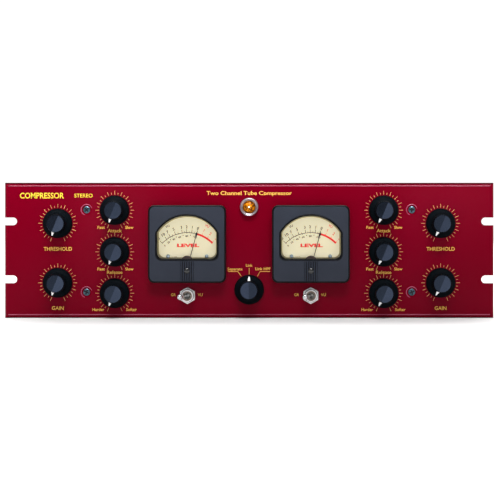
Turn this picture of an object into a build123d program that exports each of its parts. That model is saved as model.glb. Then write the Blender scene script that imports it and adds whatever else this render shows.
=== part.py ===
"""A two-channel valve compressor for a 19 inch rack, three units high.

The origin is the centre of the panel's back face, the plane that meets the rack's rails.
+X runs to the right as seen from the front, +Y into the rack and +Z up, all in millimetres.
"""

from build123d import *
import os

# ---- panel and case -------------------------------------------------------------------------
PANEL_WIDTH = 482.6
PANEL_HEIGHT = 133.35
PANEL_THICKNESS = 4.76
PANEL_EDGE_RADIUS = 4.0
POCKET_DEPTH = 0.5  # the case's front wall sits this deep in the panel's back
POCKET_CLEARANCE = 0.5
NOTCH_SPACING_X = 465.1
NOTCH_SPACING_Z = 57.15
NOTCH_WIDTH = 7.6
CASE_WIDTH = 431.8
CASE_DEPTH = 310.0
CASE_TOP = 64.0
FOOT_HEIGHT = 2.4
FOOT_RADIUS = 9.0
FOOT_INSET = 26.0
SHEET = 1.6
COVER_SHEET = 1.5
COVER_LIP = 14.0
FLANGE = 14.0
REAR_THICKNESS = 2.0
SLOT_LENGTH = 34.0
SLOT_WIDTH = 3.2
SLOT_PITCH = 8.0
SLOT_COUNT = 17
SLOT_ROWS = (95.0, 145.0, 195.0)

# ---- fits and fasteners ---------------------------------------------------------------------
FIT = 0.05  # radial gap of a turning or pressed round fit
HOLE_GAP = 0.3  # radial gap of a part that passes through sheet
M3 = 1.5
M3_HEAD = 2.9
M3_HEAD_HEIGHT = 1.7
M4 = 2.0
PANEL_SCREW_HEAD = 3.6
PANEL_SCREW_SINK = 0.5
PANEL_SCREW_CONE = 2.0
PANEL_SCREW_LENGTH = 12.0
COUNTERSINK_MOUTH = 5.1
PANEL_SCREW_X = 160.2
PANEL_SCREW_Z = (40.0, -41.2)

# ---- controls -------------------------------------------------------------------------------
OUTER_COLUMN = 188.6
INNER_COLUMN = 132.5
OUTER_ROWS = {"threshold": 26.7, "gain": -31.9}
INNER_ROWS = {"attack": 39.6, "release": -1.4, "ratio": -42.2}
SELECTOR_Z = -38.6
START_ANGLE = 157.5  # how far the pointer stands to the left of straight up at the start stop
KNOB_GAP = 0.8
KNOB_HEIGHT = 16.6
SKIRT_RADIUS = 14.3
SKIRT_EDGE = 1.5
GRIP_RADIUS = 9.2
GRIP_FOOT = 9.4
CAP_RADIUS = 8.35
CAP_SEAT = 1.1
CAP_RIDGE = 0.3
KNOB_HOLLOW = 10.2
KNOB_HOLLOW_DEPTH = 5.4
FLUTES = 24
FLUTE_RADIUS = 0.45
POINTER_START = 9.6
POINTER_END = 13.1
POINTER_WIDTH = 3.1
POINTER_TIP = 0.8
POINTER_PROUD = 0.5
SHAFT_RADIUS = 3.175
SHAFT_TOP = 13.6
COLLET_RADIUS = 4.1
COLLET_NUT_RADIUS = 5.6
COLLET_NUT_HEIGHT = 1.6
BUSHING_RADIUS = 4.75
BUSHING_REACH = 3.4
BUSHING_NUT_FLATS = 12.7
BUSHING_NUT_HEIGHT = 2.3
POT_RADIUS = 12.0
POT_DEPTH = 14.0
SELECTOR_RADIUS = 17.0
SELECTOR_DEPTH = 27.0
ROTOR_THICKNESS = 2.0
BODY_WALL = 1.5

# ---- meters ---------------------------------------------------------------------------------
METER_X = 60.7
METER_Z = 6.5
METER_SIDE = 76.2
METER_CORNER = 6.0
METER_DEPTH = 10.0
METER_FRONT_WALL = 3.0
METER_SIDE_WALL = 3.2
METER_EDGE_RADIUS = 1.4
WINDOW_HALF_WIDTH = 29.5
WINDOW_BOTTOM = -14.7
WINDOW_SHOULDER = 11.1
WINDOW_TOP = 27.9
WINDOW_CORNER = 6.0
GLASS_THICKNESS = 1.6
GLASS_MARGIN = 1.8
BARREL_RADIUS = 33.0
BARREL_DEPTH = 30.0
BARREL_WALL = 2.0
BARREL_FLANGE = 1.6
DIAL_THICKNESS = 0.8
DIAL_SCREW_X = 19.0
DIAL_SCREW_Z = -12.6
DIAL_SCREW_RADIUS = 2.0
STUD_SPREAD = 31.0
STUD_LENGTH = 9.0
PIVOT_Z = -23.6
NEEDLE_LENGTH = 39.5
NEEDLE_WIDTH = 0.5
NEEDLE_TAIL = 8.0
NEEDLE_THICKNESS = 0.4
NEEDLE_Y = 1.4  # from the dial's face to the needle's back
NEEDLE_ANGLE = 15.1  # to the right of straight up
STAFF_RADIUS = 0.8
STAFF_REACH = 20.0  # how far the staff and the bridge's hole run behind the panel's face
COIL_HALF_WIDTH = 4.4
COIL_HALF_HEIGHT = 5.0
COIL_FRONT = 9.0  # behind the panel's face
COIL_DEPTH = 10.0
COIL_WINDING = 1.3
RIB_HALF_WIDTH = 6.7
RIB_TOP = -17.0
RIB_BOTTOM = -36.4
RIB_COUNT = 6
RIB_DEPTH = 0.5
ZERO_Z = -26.2
ZERO_RADIUS = 3.3
ZERO_STEM_RADIUS = 2.0
ZERO_HEIGHT = 1.8
HUB_ARCH_HALF = 6.0
HUB_ARCH_TOP = -11.3

# ---- lamp and toggles -----------------------------------------------------------------------
LAMP_Z = 42.8
BEZEL_RADIUS = 9.2
BEZEL_HEIGHT = 4.2
JEWEL_RADIUS = 6.0
JEWEL_HEIGHT = 5.6
LAMP_TUBE_RADIUS = 7.4
LAMP_TUBE_DEPTH = 26.0
LAMP_SEAT = 1.5  # behind the panel's face, where bezel, jewel and holder meet
TOGGLE_Z = -44.4
TOGGLE_BUSHING_RADIUS = 5.7
TOGGLE_BUSHING_REACH = 8.0
TOGGLE_NUT_FLATS = 14.3
TOGGLE_NUT_HEIGHT = 2.0
TOGGLE_WASHER_RADIUS = 8.3
TOGGLE_WASHER_HEIGHT = 0.7
TOGGLE_PIVOT = 3.6  # in front of the panel's face
TOGGLE_ANGLE = 16.5  # each side of straight out
LEVER_LENGTH = 21.0
LEVER_TIP_RADIUS = 2.6
LEVER_NECK_RADIUS = 1.6
LEVER_BALL_RADIUS = 2.5
LEVER_PIN_RADIUS = 0.8  # the upright pin through the ball that the lever swings on
LEVER_PIN_HALF = 4.0

# ---- back panel -----------------------------------------------------------------------------
AUDIO_Z = 6.0
INPUT_X = (20.0, 120.0)
OUTPUT_X = (66.0, 166.0)
FLANGE_WIDTH = 26.0
FLANGE_HEIGHT = 31.0
FLANGE_THICKNESS = 2.2
SHELL_RADIUS = 11.8
SHELL_DEPTH = 19.0
SOCKET_RADIUS = 9.6
SOCKET_DEPTH = 14.5
PIN_RADIUS = 1.2
INSERT_GROOVE = 1.7  # the plug's shell goes into the ring round the insert
INSERT_SINK = 0.8
INSERT_HOLE_GAP = 0.15
PIN_PLACES = ((-3.6, 2.1), (3.6, 2.1), (0.0, -4.2))
LATCH_WIDTH = 7.0
LATCH_HEIGHT = 2.6
LATCH_Z = 12.4
LATCH_PROUD = 1.4
INLET_X = -176.0
INLET_Z = 8.0
INLET_WIDTH = 30.0
INLET_HEIGHT = 34.0
INLET_DEPTH = 26.0
INLET_LIP = 2.5
CAVITY_WIDTH = 24.4
CAVITY_HEIGHT = 16.4
CAVITY_DEPTH = 16.0
CAVITY_Z = 5.8
DRAWER_Z = -10.2
DRAWER_WIDTH = 20.0
DRAWER_HEIGHT = 7.6
DRAWER_DEPTH = 20.0
ROCKER_X = -126.0
ROCKER_Z = 8.0
SWITCH_WIDTH = 15.0
SWITCH_HEIGHT = 28.0
SWITCH_DEPTH = 20.0
SWITCH_WALL = 1.5
ROCKER_ANGLE = 9.0
ROCKER_PIN = 1.5

# ---- inside ---------------------------------------------------------------------------------
STANDOFF_HEIGHT = 10.0
STANDOFF_FLATS = 6.0
BOARD_THICKNESS = 1.6
BOARD_INSET = 5.0
AMPLIFIER_BOARD = (124.0, 150.0)
AMPLIFIER_X = 128.0
AMPLIFIER_Y = 130.0
SUPPLY_BOARD = (108.0, 92.0)
SUPPLY_X = -32.0
SUPPLY_Y = 256.0
VALVE_X = (-36.0, 0.0, 36.0)
VALVE_Y = 18.0
VALVE_RADIUS = 10.2
VALVE_HEIGHT = 48.0
SOCKET_BASE_RADIUS = 12.0
SOCKET_BASE_HEIGHT = 9.0
VALVE_PIN_CIRCLE = 5.95
CAPACITOR_RADIUS = 15.0
CAPACITOR_HEIGHT = 45.0
CAPACITOR_PLACES = ((-34.0, -24.0), (0.0, -24.0), (34.0, -24.0), (-34.0, 22.0))
CORE_WIDTH = 84.0
CORE_HEIGHT = 70.0
CORE_STACK = 34.0
CORE_X = -152.0
CORE_Y = 254.0
WINDING_BULGE = 12.0
STRAP_EAR = 9.0
CAN_RADIUS = 17.0
CAN_HEIGHT = 42.0
CAN_FLANGE = (36.0, 46.0)
CAN_FLANGE_THICKNESS = 2.0
CAN_X = (56.0, 99.0, 142.0, 185.0)
CAN_Y = 262.0

# ---- planes worked out from the sizes above -------------------------------------------------
FACE = -PANEL_THICKNESS
PANEL_BOTTOM = -PANEL_HEIGHT / 2
CASE_BOTTOM = PANEL_BOTTOM + FOOT_HEIGHT
CASE_FRONT = -POCKET_DEPTH
WALL_BACK = CASE_FRONT + SHEET
CASE_BACK = CASE_FRONT + CASE_DEPTH
REAR_FACE = CASE_BACK + REAR_THICKNESS
PAN_HALF_WIDTH = CASE_WIDTH / 2 - COVER_SHEET
PAN_TOP = CASE_TOP - COVER_SHEET
FLOOR = CASE_BOTTOM + SHEET
BOARD_TOP = FLOOR + STANDOFF_HEIGHT + BOARD_THICKNESS
DIAL_FACE = FACE - BARREL_FLANGE - DIAL_THICKNESS
METER_FACE = FACE - METER_DEPTH
GLASS_BACK = METER_FACE + METER_FRONT_WALL + GLASS_THICKNESS
SIDES = {"left": -1, "right": 1}


# ---- small builders -------------------------------------------------------------------------
def block(x0, x1, y0, y1, z0, z1):
    """A box between six planes."""
    centre = Pos((x0 + x1) / 2, (y0 + y1) / 2, (z0 + z1) / 2)
    return centre * Box(abs(x1 - x0), abs(y1 - y0), abs(z1 - z0))


def rod(radius, y0, y1, x=0.0, z=0.0):
    """A round bar along Y."""
    return Pos(x, (y0 + y1) / 2, z) * Rot(90, 0, 0) * Cylinder(radius, abs(y1 - y0))


def post(radius, z0, z1, x, y):
    """A round bar along Z."""
    return Pos(x, y, (z0 + z1) / 2) * Cylinder(radius, z1 - z0)


def turned(points, x=0.0, z=0.0):
    """A solid turned about Y from (radius, y) points."""
    return Pos(x, 0, z) * revolve(make_face(Polyline(*points, close=True)), Axis.Y)


def domed(radius, base, tip, x=0.0, z=0.0):
    """A round cap about Y, its flat side at base and its crown at tip."""
    rise = base - tip
    bulge = (radius**2 + rise**2) / (2 * rise)
    half_way = ((bulge**2 - (bulge - rise / 2) ** 2) ** 0.5, tip + rise / 2)
    outline = Wire([
        Line((0, base), (radius, base)),
        ThreePointArc((radius, base), half_way, (0, tip)),
        Line((0, tip), (0, base)),
    ])
    return Pos(x, 0, z) * revolve(make_face(outline), Axis.Y)


def turned_up(points, x, y):
    """A solid turned about Z from (radius, z) points."""
    outline = make_face(Polyline(*[(r, 0, z) for r, z in points], close=True))
    return Pos(x, y, 0) * revolve(outline, Axis.Z)


def plate(sketch, y0, y1, x=0.0, z=0.0):
    """A sketch drawn as seen from the front, extruded from y0 back to y1."""
    upright = Plane(origin=(x, y1, z), x_dir=(1, 0, 0), z_dir=(0, -1, 0))
    return extrude(upright * sketch, y1 - y0)


def hex_prism(flats, y0, y1, x, z, turn=30):
    """A hexagonal bar along Y, with a corner at the top when turn is 30."""
    corner_radius = flats / 3**0.5
    return plate(Rot(0, 0, turn) * RegularPolygon(corner_radius, 6), y0, y1, x, z)


def group(solids):
    """Several separate solids in one node."""
    return Compound(children=[s for item in solids for s in item.solids()])


def control_places():
    """Name to (x, z) of every pot, for both channels."""
    found = {}
    for side, sign in SIDES.items():
        for rows, column in ((OUTER_ROWS, OUTER_COLUMN), (INNER_ROWS, INNER_COLUMN)):
            for name, z in rows.items():
                found[f"{name}_knob_{side}"] = (sign * column, z)
    return found


def meter_places():
    return [(sign * METER_X, METER_Z) for sign in SIDES.values()]


def toggle_places():
    return [(sign * METER_X, TOGGLE_Z) for sign in SIDES.values()]


def stud_places():
    spread = (-STUD_SPREAD, STUD_SPREAD)
    return [(x + dx, z + dz) for x, z in meter_places() for dx in spread for dz in spread]


def front_wall_holes(y0, y1):
    """What the panel and the case's front wall are both cut by."""
    bushings = list(control_places().values()) + [(0.0, SELECTOR_Z)]
    cut = [rod(BUSHING_RADIUS + HOLE_GAP, y0, y1, x, z) for x, z in bushings]
    cut += [rod(BARREL_RADIUS + HOLE_GAP, y0, y1, x, z) for x, z in meter_places()]
    cut += [rod(M4 + HOLE_GAP, y0, y1, x, z) for x, z in stud_places()]
    cut += [rod(TOGGLE_BUSHING_RADIUS + HOLE_GAP, y0, y1, x, z) for x, z in toggle_places()]
    cut += [rod(LAMP_TUBE_RADIUS + HOLE_GAP, y0, y1, 0, LAMP_Z)]
    return cut


def panel_screw_places():
    return [(side * PANEL_SCREW_X, z) for side in SIDES.values() for z in PANEL_SCREW_Z]


# ---- panel and case -------------------------------------------------------------------------
def front_panel():
    half_width = PANEL_WIDTH / 2
    slab = block(-half_width, half_width, FACE, 0, PANEL_BOTTOM, -PANEL_BOTTOM)
    rim = slab.faces().sort_by(Axis.Y)[0].edges()
    slab = fillet(rim, PANEL_EDGE_RADIUS)
    for sign in SIDES.values():
        for z in (-NOTCH_SPACING_Z / 2, NOTCH_SPACING_Z / 2):
            x = sign * NOTCH_SPACING_X / 2
            slab -= rod(NOTCH_WIDTH / 2, FACE - 1, 1, x, z)
            outer = sign * (half_width + 1)
            slab -= block(x, outer, FACE - 1, 1, z - NOTCH_WIDTH / 2, z + NOTCH_WIDTH / 2)
    pocket = CASE_WIDTH / 2 + POCKET_CLEARANCE
    low, high = CASE_BOTTOM - POCKET_CLEARANCE, CASE_TOP + POCKET_CLEARANCE
    slab -= block(-pocket, pocket, CASE_FRONT, 1, low, high)
    slab -= front_wall_holes(FACE - 1, 1)
    for x, z in panel_screw_places():
        slab -= rod(M4 + HOLE_GAP, FACE - 1, 1, x, z)
        top = FACE + PANEL_SCREW_SINK
        bottom = top + PANEL_SCREW_CONE
        mouth = [(0, FACE), (COUNTERSINK_MOUTH, FACE), (PANEL_SCREW_HEAD + FIT, top)]
        slab -= turned(mouth + [(M4 - FIT, bottom), (0, bottom)], x, z)
    return slab


def cross_slot(size, y0, y1, x, z):
    """A cross recess, cut from the front of a head."""
    wide, thin = size, size * 0.28
    return [block(x - a, x + a, y0, y1, z - b, z + b) for a, b in ((wide, thin), (thin, wide))]


def panel_screws():
    top = FACE + PANEL_SCREW_SINK
    made = []
    for x, z in panel_screw_places():
        profile = [
            (0, top),
            (PANEL_SCREW_HEAD, top),
            (M4 - 0.1, top + PANEL_SCREW_CONE),
            (M4 - 0.1, top + PANEL_SCREW_LENGTH),
            (0, top + PANEL_SCREW_LENGTH),
        ]
        made.append(turned(profile, x, z) - cross_slot(2.1, top - 1, top + 1.3, x, z))
    return group(made)


def chassis_pan():
    w, top, back = PAN_HALF_WIDTH, PAN_TOP, CASE_BACK
    pan = block(-w, w, CASE_FRONT, back, CASE_BOTTOM, top)
    pan -= block(-w + SHEET, w - SHEET, WALL_BACK, back + 1, FLOOR, top + 1)
    for sign in SIDES.values():
        inner = sign * (w - FLANGE)
        pan += block(sign * w, inner, CASE_FRONT, back, top - SHEET, top)
        pan += block(sign * w, inner, back - SHEET, back, CASE_BOTTOM, top)
    pan -= front_wall_holes(CASE_FRONT - 1, WALL_BACK + 1)
    for x, z in panel_screw_places():
        pan -= rod(M4, CASE_FRONT - 1, WALL_BACK + 1, x, z)
    for x, z in rear_screw_places():
        pan -= rod(M3, back - SHEET - 1, back + 1, x, z)
    for x, y in cover_screw_places():
        pan -= post(M3, top - SHEET - 1, top + 1, x, y)
    floor_places = case_post_places() + [(x, y) for x, y, _ in floor_screw_places()]
    for x, y in floor_places:
        pan -= post(M3, CASE_BOTTOM - 1, FLOOR + 1, x, y)
    return pan


def rear_screw_places():
    x = PAN_HALF_WIDTH - FLANGE / 2
    return [(sign * x, z) for sign in SIDES.values() for z in (-48.0, 0.0, 48.0)]


def cover_screw_places():
    x = PAN_HALF_WIDTH - FLANGE / 2
    return [(sign * x, y) for sign in SIDES.values() for y in (20.0, 155.0, CASE_BACK - 20.0)]


def top_cover():
    half = CASE_WIDTH / 2
    cover = block(-half, half, CASE_FRONT, REAR_FACE, CASE_TOP - COVER_LIP, CASE_TOP)
    inner = half - COVER_SHEET
    cover -= block(-inner, inner, CASE_FRONT - 1, REAR_FACE + 1, CASE_TOP - COVER_LIP - 1, PAN_TOP)
    cuts = []
    for row in SLOT_ROWS:
        for side in SIDES.values():
            for i in range(SLOT_COUNT):
                x = side * AMPLIFIER_X + (i - (SLOT_COUNT - 1) / 2) * SLOT_PITCH
                slot = Pos(x, row, CASE_TOP) * Rot(0, 0, 90) * SlotOverall(SLOT_LENGTH, SLOT_WIDTH)
                cuts.append(extrude(slot, COVER_SHEET * 2, both=True))
    for x, y in cover_screw_places():
        cuts.append(post(M3 + HOLE_GAP, PAN_TOP - 1, CASE_TOP + 1, x, y))
    return cover - cuts


def head_profile(seat):
    """(radius, height) of a small round head that stands on seat."""
    shoulder, top = seat + 1.0, seat + M3_HEAD_HEIGHT
    return [(0, seat), (M3_HEAD, seat), (M3_HEAD, shoulder), (M3_HEAD * 0.6, top), (0, top)]


def upright_screw(x, y, seat, length):
    """A screw that stands in sheet metal, its head on seat."""
    screw = turned_up(head_profile(seat), x, y) + post(M3 - FIT, seat - length, seat, x, y)
    for a, b in ((2.0, 0.55), (0.55, 2.0)):
        screw -= block(x - a, x + a, y - b, y + b, seat + 0.7, seat + 3)
    return screw


def rear_screw(x, z, seat):
    """A screw through the back panel, its head outside seat."""
    screw = turned(head_profile(seat), x, z) + rod(M3 - FIT, seat - 7.0, seat, x, z)
    return screw - cross_slot(1.9, seat + 0.7, seat + 3, x, z)


def case_screws():
    made = [upright_screw(x, y, CASE_TOP, 6.0) for x, y in cover_screw_places()]
    made += [upright_screw(x, y, z, z - CASE_BOTTOM) for x, y, z in floor_screw_places()]
    made += [rear_screw(x, z, REAR_FACE) for x, z in rear_screw_places()]
    made += [rear_screw(x, z, REAR_FACE + FLANGE_THICKNESS) for x, z in connector_screw_places()]
    return group(made)


def rubber_feet():
    y_places = (FOOT_INSET, CASE_BACK - FOOT_INSET)
    x = PAN_HALF_WIDTH - FOOT_INSET
    top, low = CASE_BOTTOM, PANEL_BOTTOM
    profile = [(0, low), (FOOT_RADIUS - 1, low), (FOOT_RADIUS, low + 1), (FOOT_RADIUS, top), (0, top)]
    return group([turned_up(profile, sign * x, y) for sign in SIDES.values() for y in y_places])


# ---- controls -------------------------------------------------------------------------------
def knob_profile():
    """(radius, height above the panel's face) of the outside of a knob."""
    return [
        (SKIRT_RADIUS, KNOB_GAP),
        (SKIRT_RADIUS, KNOB_GAP + SKIRT_EDGE),
        (POINTER_END, KNOB_GAP + SKIRT_EDGE + 2.2),
        (POINTER_START, GRIP_FOOT - 1.0),
        (GRIP_RADIUS, GRIP_FOOT),
        (GRIP_RADIUS - 0.2, KNOB_HEIGHT - 0.5),
        (GRIP_RADIUS - 0.6, KNOB_HEIGHT),
    ]


def knob_pointer():
    """The raised white nose on the skirt, pointing up."""
    outline = Polyline(
        (-POINTER_WIDTH / 2, POINTER_START - 0.6),
        (POINTER_WIDTH / 2, POINTER_START - 0.6),
        (POINTER_TIP / 2, POINTER_END),
        (-POINTER_TIP / 2, POINTER_END),
        close=True,
    )
    low = KNOB_GAP + SKIRT_EDGE
    prism = plate(make_face(outline), FACE - GRIP_FOOT - 2, FACE - low)
    foot, crest = [(r + POINTER_PROUD / 2, h + POINTER_PROUD) for r, h in knob_profile()[2:4]]
    roof = [(0, low), (foot[0] + 1, low), foot, crest, (0, crest[1])]
    return prism & turned([(r, FACE - h) for r, h in roof])


def knob_solids(shaft_back, rotor_radius, rotor_front):
    """Body, cap, collet and shaft of one knob on the Y axis, its pointer straight up."""
    outside = [(r, FACE - h) for r, h in knob_profile()]
    seat = FACE - KNOB_HEIGHT + CAP_SEAT
    hollow = FACE - KNOB_HOLLOW_DEPTH
    nut_bottom = seat + COLLET_NUT_HEIGHT
    inside = [
        (CAP_RADIUS + FIT, FACE - KNOB_HEIGHT),
        (CAP_RADIUS + FIT, seat),
        (COLLET_NUT_RADIUS + FIT, seat),
        (COLLET_NUT_RADIUS + FIT, nut_bottom),
        (COLLET_RADIUS + FIT, nut_bottom),
        (COLLET_RADIUS + FIT, hollow),
        (KNOB_HOLLOW, hollow),
        (KNOB_HOLLOW + 0.8, FACE - KNOB_GAP),
    ]
    body = turned(outside + inside)
    flute_end = FACE - GRIP_FOOT
    flute = rod(FLUTE_RADIUS, FACE - KNOB_HEIGHT - 1, flute_end, 0, GRIP_RADIUS + FLUTE_RADIUS * 0.35)
    body -= [Rot(0, (i + 0.5) * 360 / FLUTES, 0) * flute for i in range(FLUTES)]
    body += knob_pointer()
    body -= turned(inside + [(0, FACE - KNOB_GAP), (0, FACE - KNOB_HEIGHT)])

    cap_top = FACE - KNOB_HEIGHT
    cap = rod(CAP_RADIUS, cap_top - CAP_RIDGE, seat)
    for sign in (-1, 1):
        eave = sign * (CAP_RADIUS + 1)
        fall = CAP_RIDGE * (CAP_RADIUS + 1) / CAP_RADIUS
        wedge = make_face(Polyline((0, cap_top - CAP_RIDGE), (eave, cap_top - CAP_RIDGE),
                                   (eave, cap_top - CAP_RIDGE + fall), close=True))
        cap -= extrude(wedge, CAP_RADIUS + 1, both=True)

    collet_end = FACE - SHAFT_TOP
    collet = rod(COLLET_NUT_RADIUS, seat, nut_bottom) + rod(COLLET_RADIUS, nut_bottom, hollow)
    collet -= rod(SHAFT_RADIUS, collet_end, hollow)
    shaft = rod(SHAFT_RADIUS, collet_end, shaft_back)
    shaft += rod(rotor_radius, rotor_front, rotor_front + ROTOR_THICKNESS)
    return [body, cap, collet, shaft]


def knob_node(place, turn, back, rotor_radius):
    x, z = place
    rotor_front = WALL_BACK + BODY_WALL + 1.0
    solids = knob_solids(back, rotor_radius, rotor_front)
    return group([Pos(x, 0, z) * Rot(0, turn, 0) * solid for solid in solids])


def control_body(x, z, radius, depth):
    """A pot's or a rotary switch's fixed body with its threaded bushing."""
    front, back = WALL_BACK, WALL_BACK + depth
    body = rod(radius, front, back, x, z)
    body += rod(BUSHING_RADIUS, FACE - BUSHING_REACH, front, x, z)
    body -= rod(radius - BODY_WALL, front + BODY_WALL, back - BODY_WALL, x, z)
    body -= rod(SHAFT_RADIUS + FIT, FACE - BUSHING_REACH - 1, back + 1, x, z)
    return body


def lugs(x, z, back, spread, drop):
    """Three solder lugs under a control's body."""
    return [block(x + dx - 0.9, x + dx + 0.9, back - 2.2, back - 1.4, z - drop - 6, z - drop + 0.8)
            for dx in (-spread, 0, spread)]


def potentiometer_bodies():
    made = []
    for x, z in control_places().values():
        body = control_body(x, z, POT_RADIUS, POT_DEPTH)
        for lug in lugs(x, z, WALL_BACK + POT_DEPTH, 5.0, POT_RADIUS - 2.0):
            body += lug
        made.append(body)
    return group(made)


def selector_body():
    body = control_body(0, SELECTOR_Z, SELECTOR_RADIUS, SELECTOR_DEPTH)
    groove_front = WALL_BACK + 10.0
    ring = rod(SELECTOR_RADIUS + 1, groove_front, groove_front + 6.0, 0, SELECTOR_Z)
    ring -= rod(SELECTOR_RADIUS - BODY_WALL / 2, groove_front, groove_front + 6.0, 0, SELECTOR_Z)
    return body - ring


def panel_nuts():
    """Nuts on the control bushings, in front, and on the meters' studs, behind."""
    made = []
    for x, z in list(control_places().values()) + [(0.0, SELECTOR_Z)]:
        nut = hex_prism(BUSHING_NUT_FLATS, FACE - BUSHING_NUT_HEIGHT, FACE, x, z)
        made.append(nut - rod(BUSHING_RADIUS + FIT, FACE - 5, 1, x, z))
    for x, z in stud_places():
        nut = hex_prism(7.0, WALL_BACK, WALL_BACK + 3.0, x, z)
        made.append(nut - rod(M4 + FIT, WALL_BACK - 1, WALL_BACK + 4, x, z))
    return group(made)


# ---- meters ---------------------------------------------------------------------------------
def window_sketch(grow=0.0):
    """The meter's window: straight sides, round lower corners and an arched top."""
    w = WINDOW_HALF_WIDTH + grow
    low, shoulder, top = WINDOW_BOTTOM - grow, WINDOW_SHOULDER, WINDOW_TOP + grow
    r = WINDOW_CORNER
    knee = r * (1 - 0.5**0.5)
    edges = [
        Line((-w, shoulder), (-w, low + r)),
        ThreePointArc((-w, low + r), (-w + knee, low + knee), (-w + r, low)),
        Line((-w + r, low), (w - r, low)),
        ThreePointArc((w - r, low), (w - knee, low + knee), (w, low + r)),
        Line((w, low + r), (w, shoulder)),
        ThreePointArc((w, shoulder), (0, top), (-w, shoulder)),
    ]
    return make_face(Wire(edges))


def meter_case(x):
    outer = plate(RectangleRounded(METER_SIDE, METER_SIDE, METER_CORNER), METER_FACE, FACE, x, METER_Z)
    outer = fillet(outer.faces().sort_by(Axis.Y)[0].edges(), METER_EDGE_RADIUS)
    pocket = METER_SIDE - 2 * METER_SIDE_WALL
    inner = RectangleRounded(pocket, pocket, METER_CORNER - METER_SIDE_WALL + 1)
    wall = METER_FACE + METER_FRONT_WALL
    case = outer - plate(inner, wall, FACE + 1, x, METER_Z)
    window = window_sketch()
    arch = Pos(0, HUB_ARCH_TOP - HUB_ARCH_HALF) * Circle(HUB_ARCH_HALF)
    case -= plate(window - arch, METER_FACE - 1, wall + 1, x, METER_Z)
    pitch = 2 * RIB_HALF_WIDTH / RIB_COUNT
    for i in range(RIB_COUNT + 1):
        rib_x = x - RIB_HALF_WIDTH + i * pitch
        case -= block(rib_x - 0.4, rib_x + 0.4, METER_FACE - 1, METER_FACE + RIB_DEPTH,
                      METER_Z + RIB_BOTTOM, METER_Z + RIB_TOP)
    case -= rod(ZERO_STEM_RADIUS + FIT, METER_FACE - 1, wall + 1, x, METER_Z + ZERO_Z)
    return case


def meter_window(x):
    front = METER_FACE + METER_FRONT_WALL
    glass = plate(window_sketch(GLASS_MARGIN), front, front + GLASS_THICKNESS, x, METER_Z)
    return glass


def dial_outline():
    """The dial plate, cut round below so that the needle's hub shows through."""
    hub = Pos(0, PIVOT_Z) * Circle(HUB_ARCH_HALF + 2)
    return window_sketch(GLASS_MARGIN + 0.5) - hub


def meter_dial(x):
    plate_solid = plate(dial_outline(), DIAL_FACE, DIAL_FACE + DIAL_THICKNESS, x, METER_Z)
    screws = []
    for sign in (-1, 1):
        place = (x + sign * DIAL_SCREW_X, METER_Z + DIAL_SCREW_Z)
        plate_solid -= rod(1.0 + FIT, DIAL_FACE - 1, DIAL_FACE + 2, *place)
        head = DIAL_FACE - 1.2
        crown = [(0, head), (1.3, head), (DIAL_SCREW_RADIUS, head + 0.6), (DIAL_SCREW_RADIUS, DIAL_FACE)]
        thread = [(1.0, DIAL_FACE), (1.0, FACE), (0, FACE)]
        sx, sz = place
        slot = block(sx - 2.2, sx + 2.2, head - 1, head + 0.5, sz - 0.3, sz + 0.3)
        screws.append(turned(crown + thread, *place) - slot)
    return group([plate_solid] + screws)


def meter_barrel(x):
    """The back of the meter: a flange against the panel and a round can behind it."""
    side = METER_SIDE - 2 * METER_SIDE_WALL - 2 * HOLE_GAP
    sketch = RectangleRounded(side, side, METER_CORNER - METER_SIDE_WALL + 1)
    flange = plate(sketch, FACE - BARREL_FLANGE, FACE, x, METER_Z)
    back = FACE + BARREL_DEPTH
    can = flange + rod(BARREL_RADIUS, FACE, back, x, METER_Z)
    can -= rod(BARREL_RADIUS - BARREL_WALL, FACE - BARREL_FLANGE - 1, back - BARREL_WALL, x, METER_Z)
    for sign in (-1, 1):
        post_place = (x + sign * DIAL_SCREW_X, METER_Z + DIAL_SCREW_Z)
        can += rod(2.6, FACE - BARREL_FLANGE, back - BARREL_WALL, *post_place)
        can -= rod(1.0 + FIT, FACE - BARREL_FLANGE - 1, FACE + 1, *post_place)
    solids = [can]
    for sx, sz in stud_places():
        if abs(sx - x) < METER_SIDE / 2:
            solids.append(rod(M4, FACE, FACE + PANEL_THICKNESS + STUD_LENGTH, sx, sz))
    for sign in (-1, 1):
        solids.append(rod(M4, back, back + 8, x + sign * 12, METER_Z))
    return group(solids)


def meter_movement(x):
    """Magnet ring, pole core and bridge, on the needle's axis, fixed to the barrel's back."""
    back = FACE + BARREL_DEPTH - BARREL_WALL
    axis_z = METER_Z + PIVOT_Z
    yoke_front = FACE + 8
    yoke = block(x - 15, x + 15, yoke_front, back, axis_z + 9, axis_z + 25)
    yoke -= rod(9.5, yoke_front - 1, back + 1, x, axis_z + 9)
    for s in (-1, 1):
        yoke += block(x + s * 9.5, x + s * 15, yoke_front, yoke_front + 12, axis_z - 2, axis_z + 9)
    bridge = block(x - 15, x + 15, yoke_front - 2.0, yoke_front, axis_z - 2.2, axis_z + 14)
    bridge -= rod(STAFF_RADIUS + 0.3, FACE, FACE + STAFF_REACH, x, axis_z)
    return group([yoke, bridge])


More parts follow.
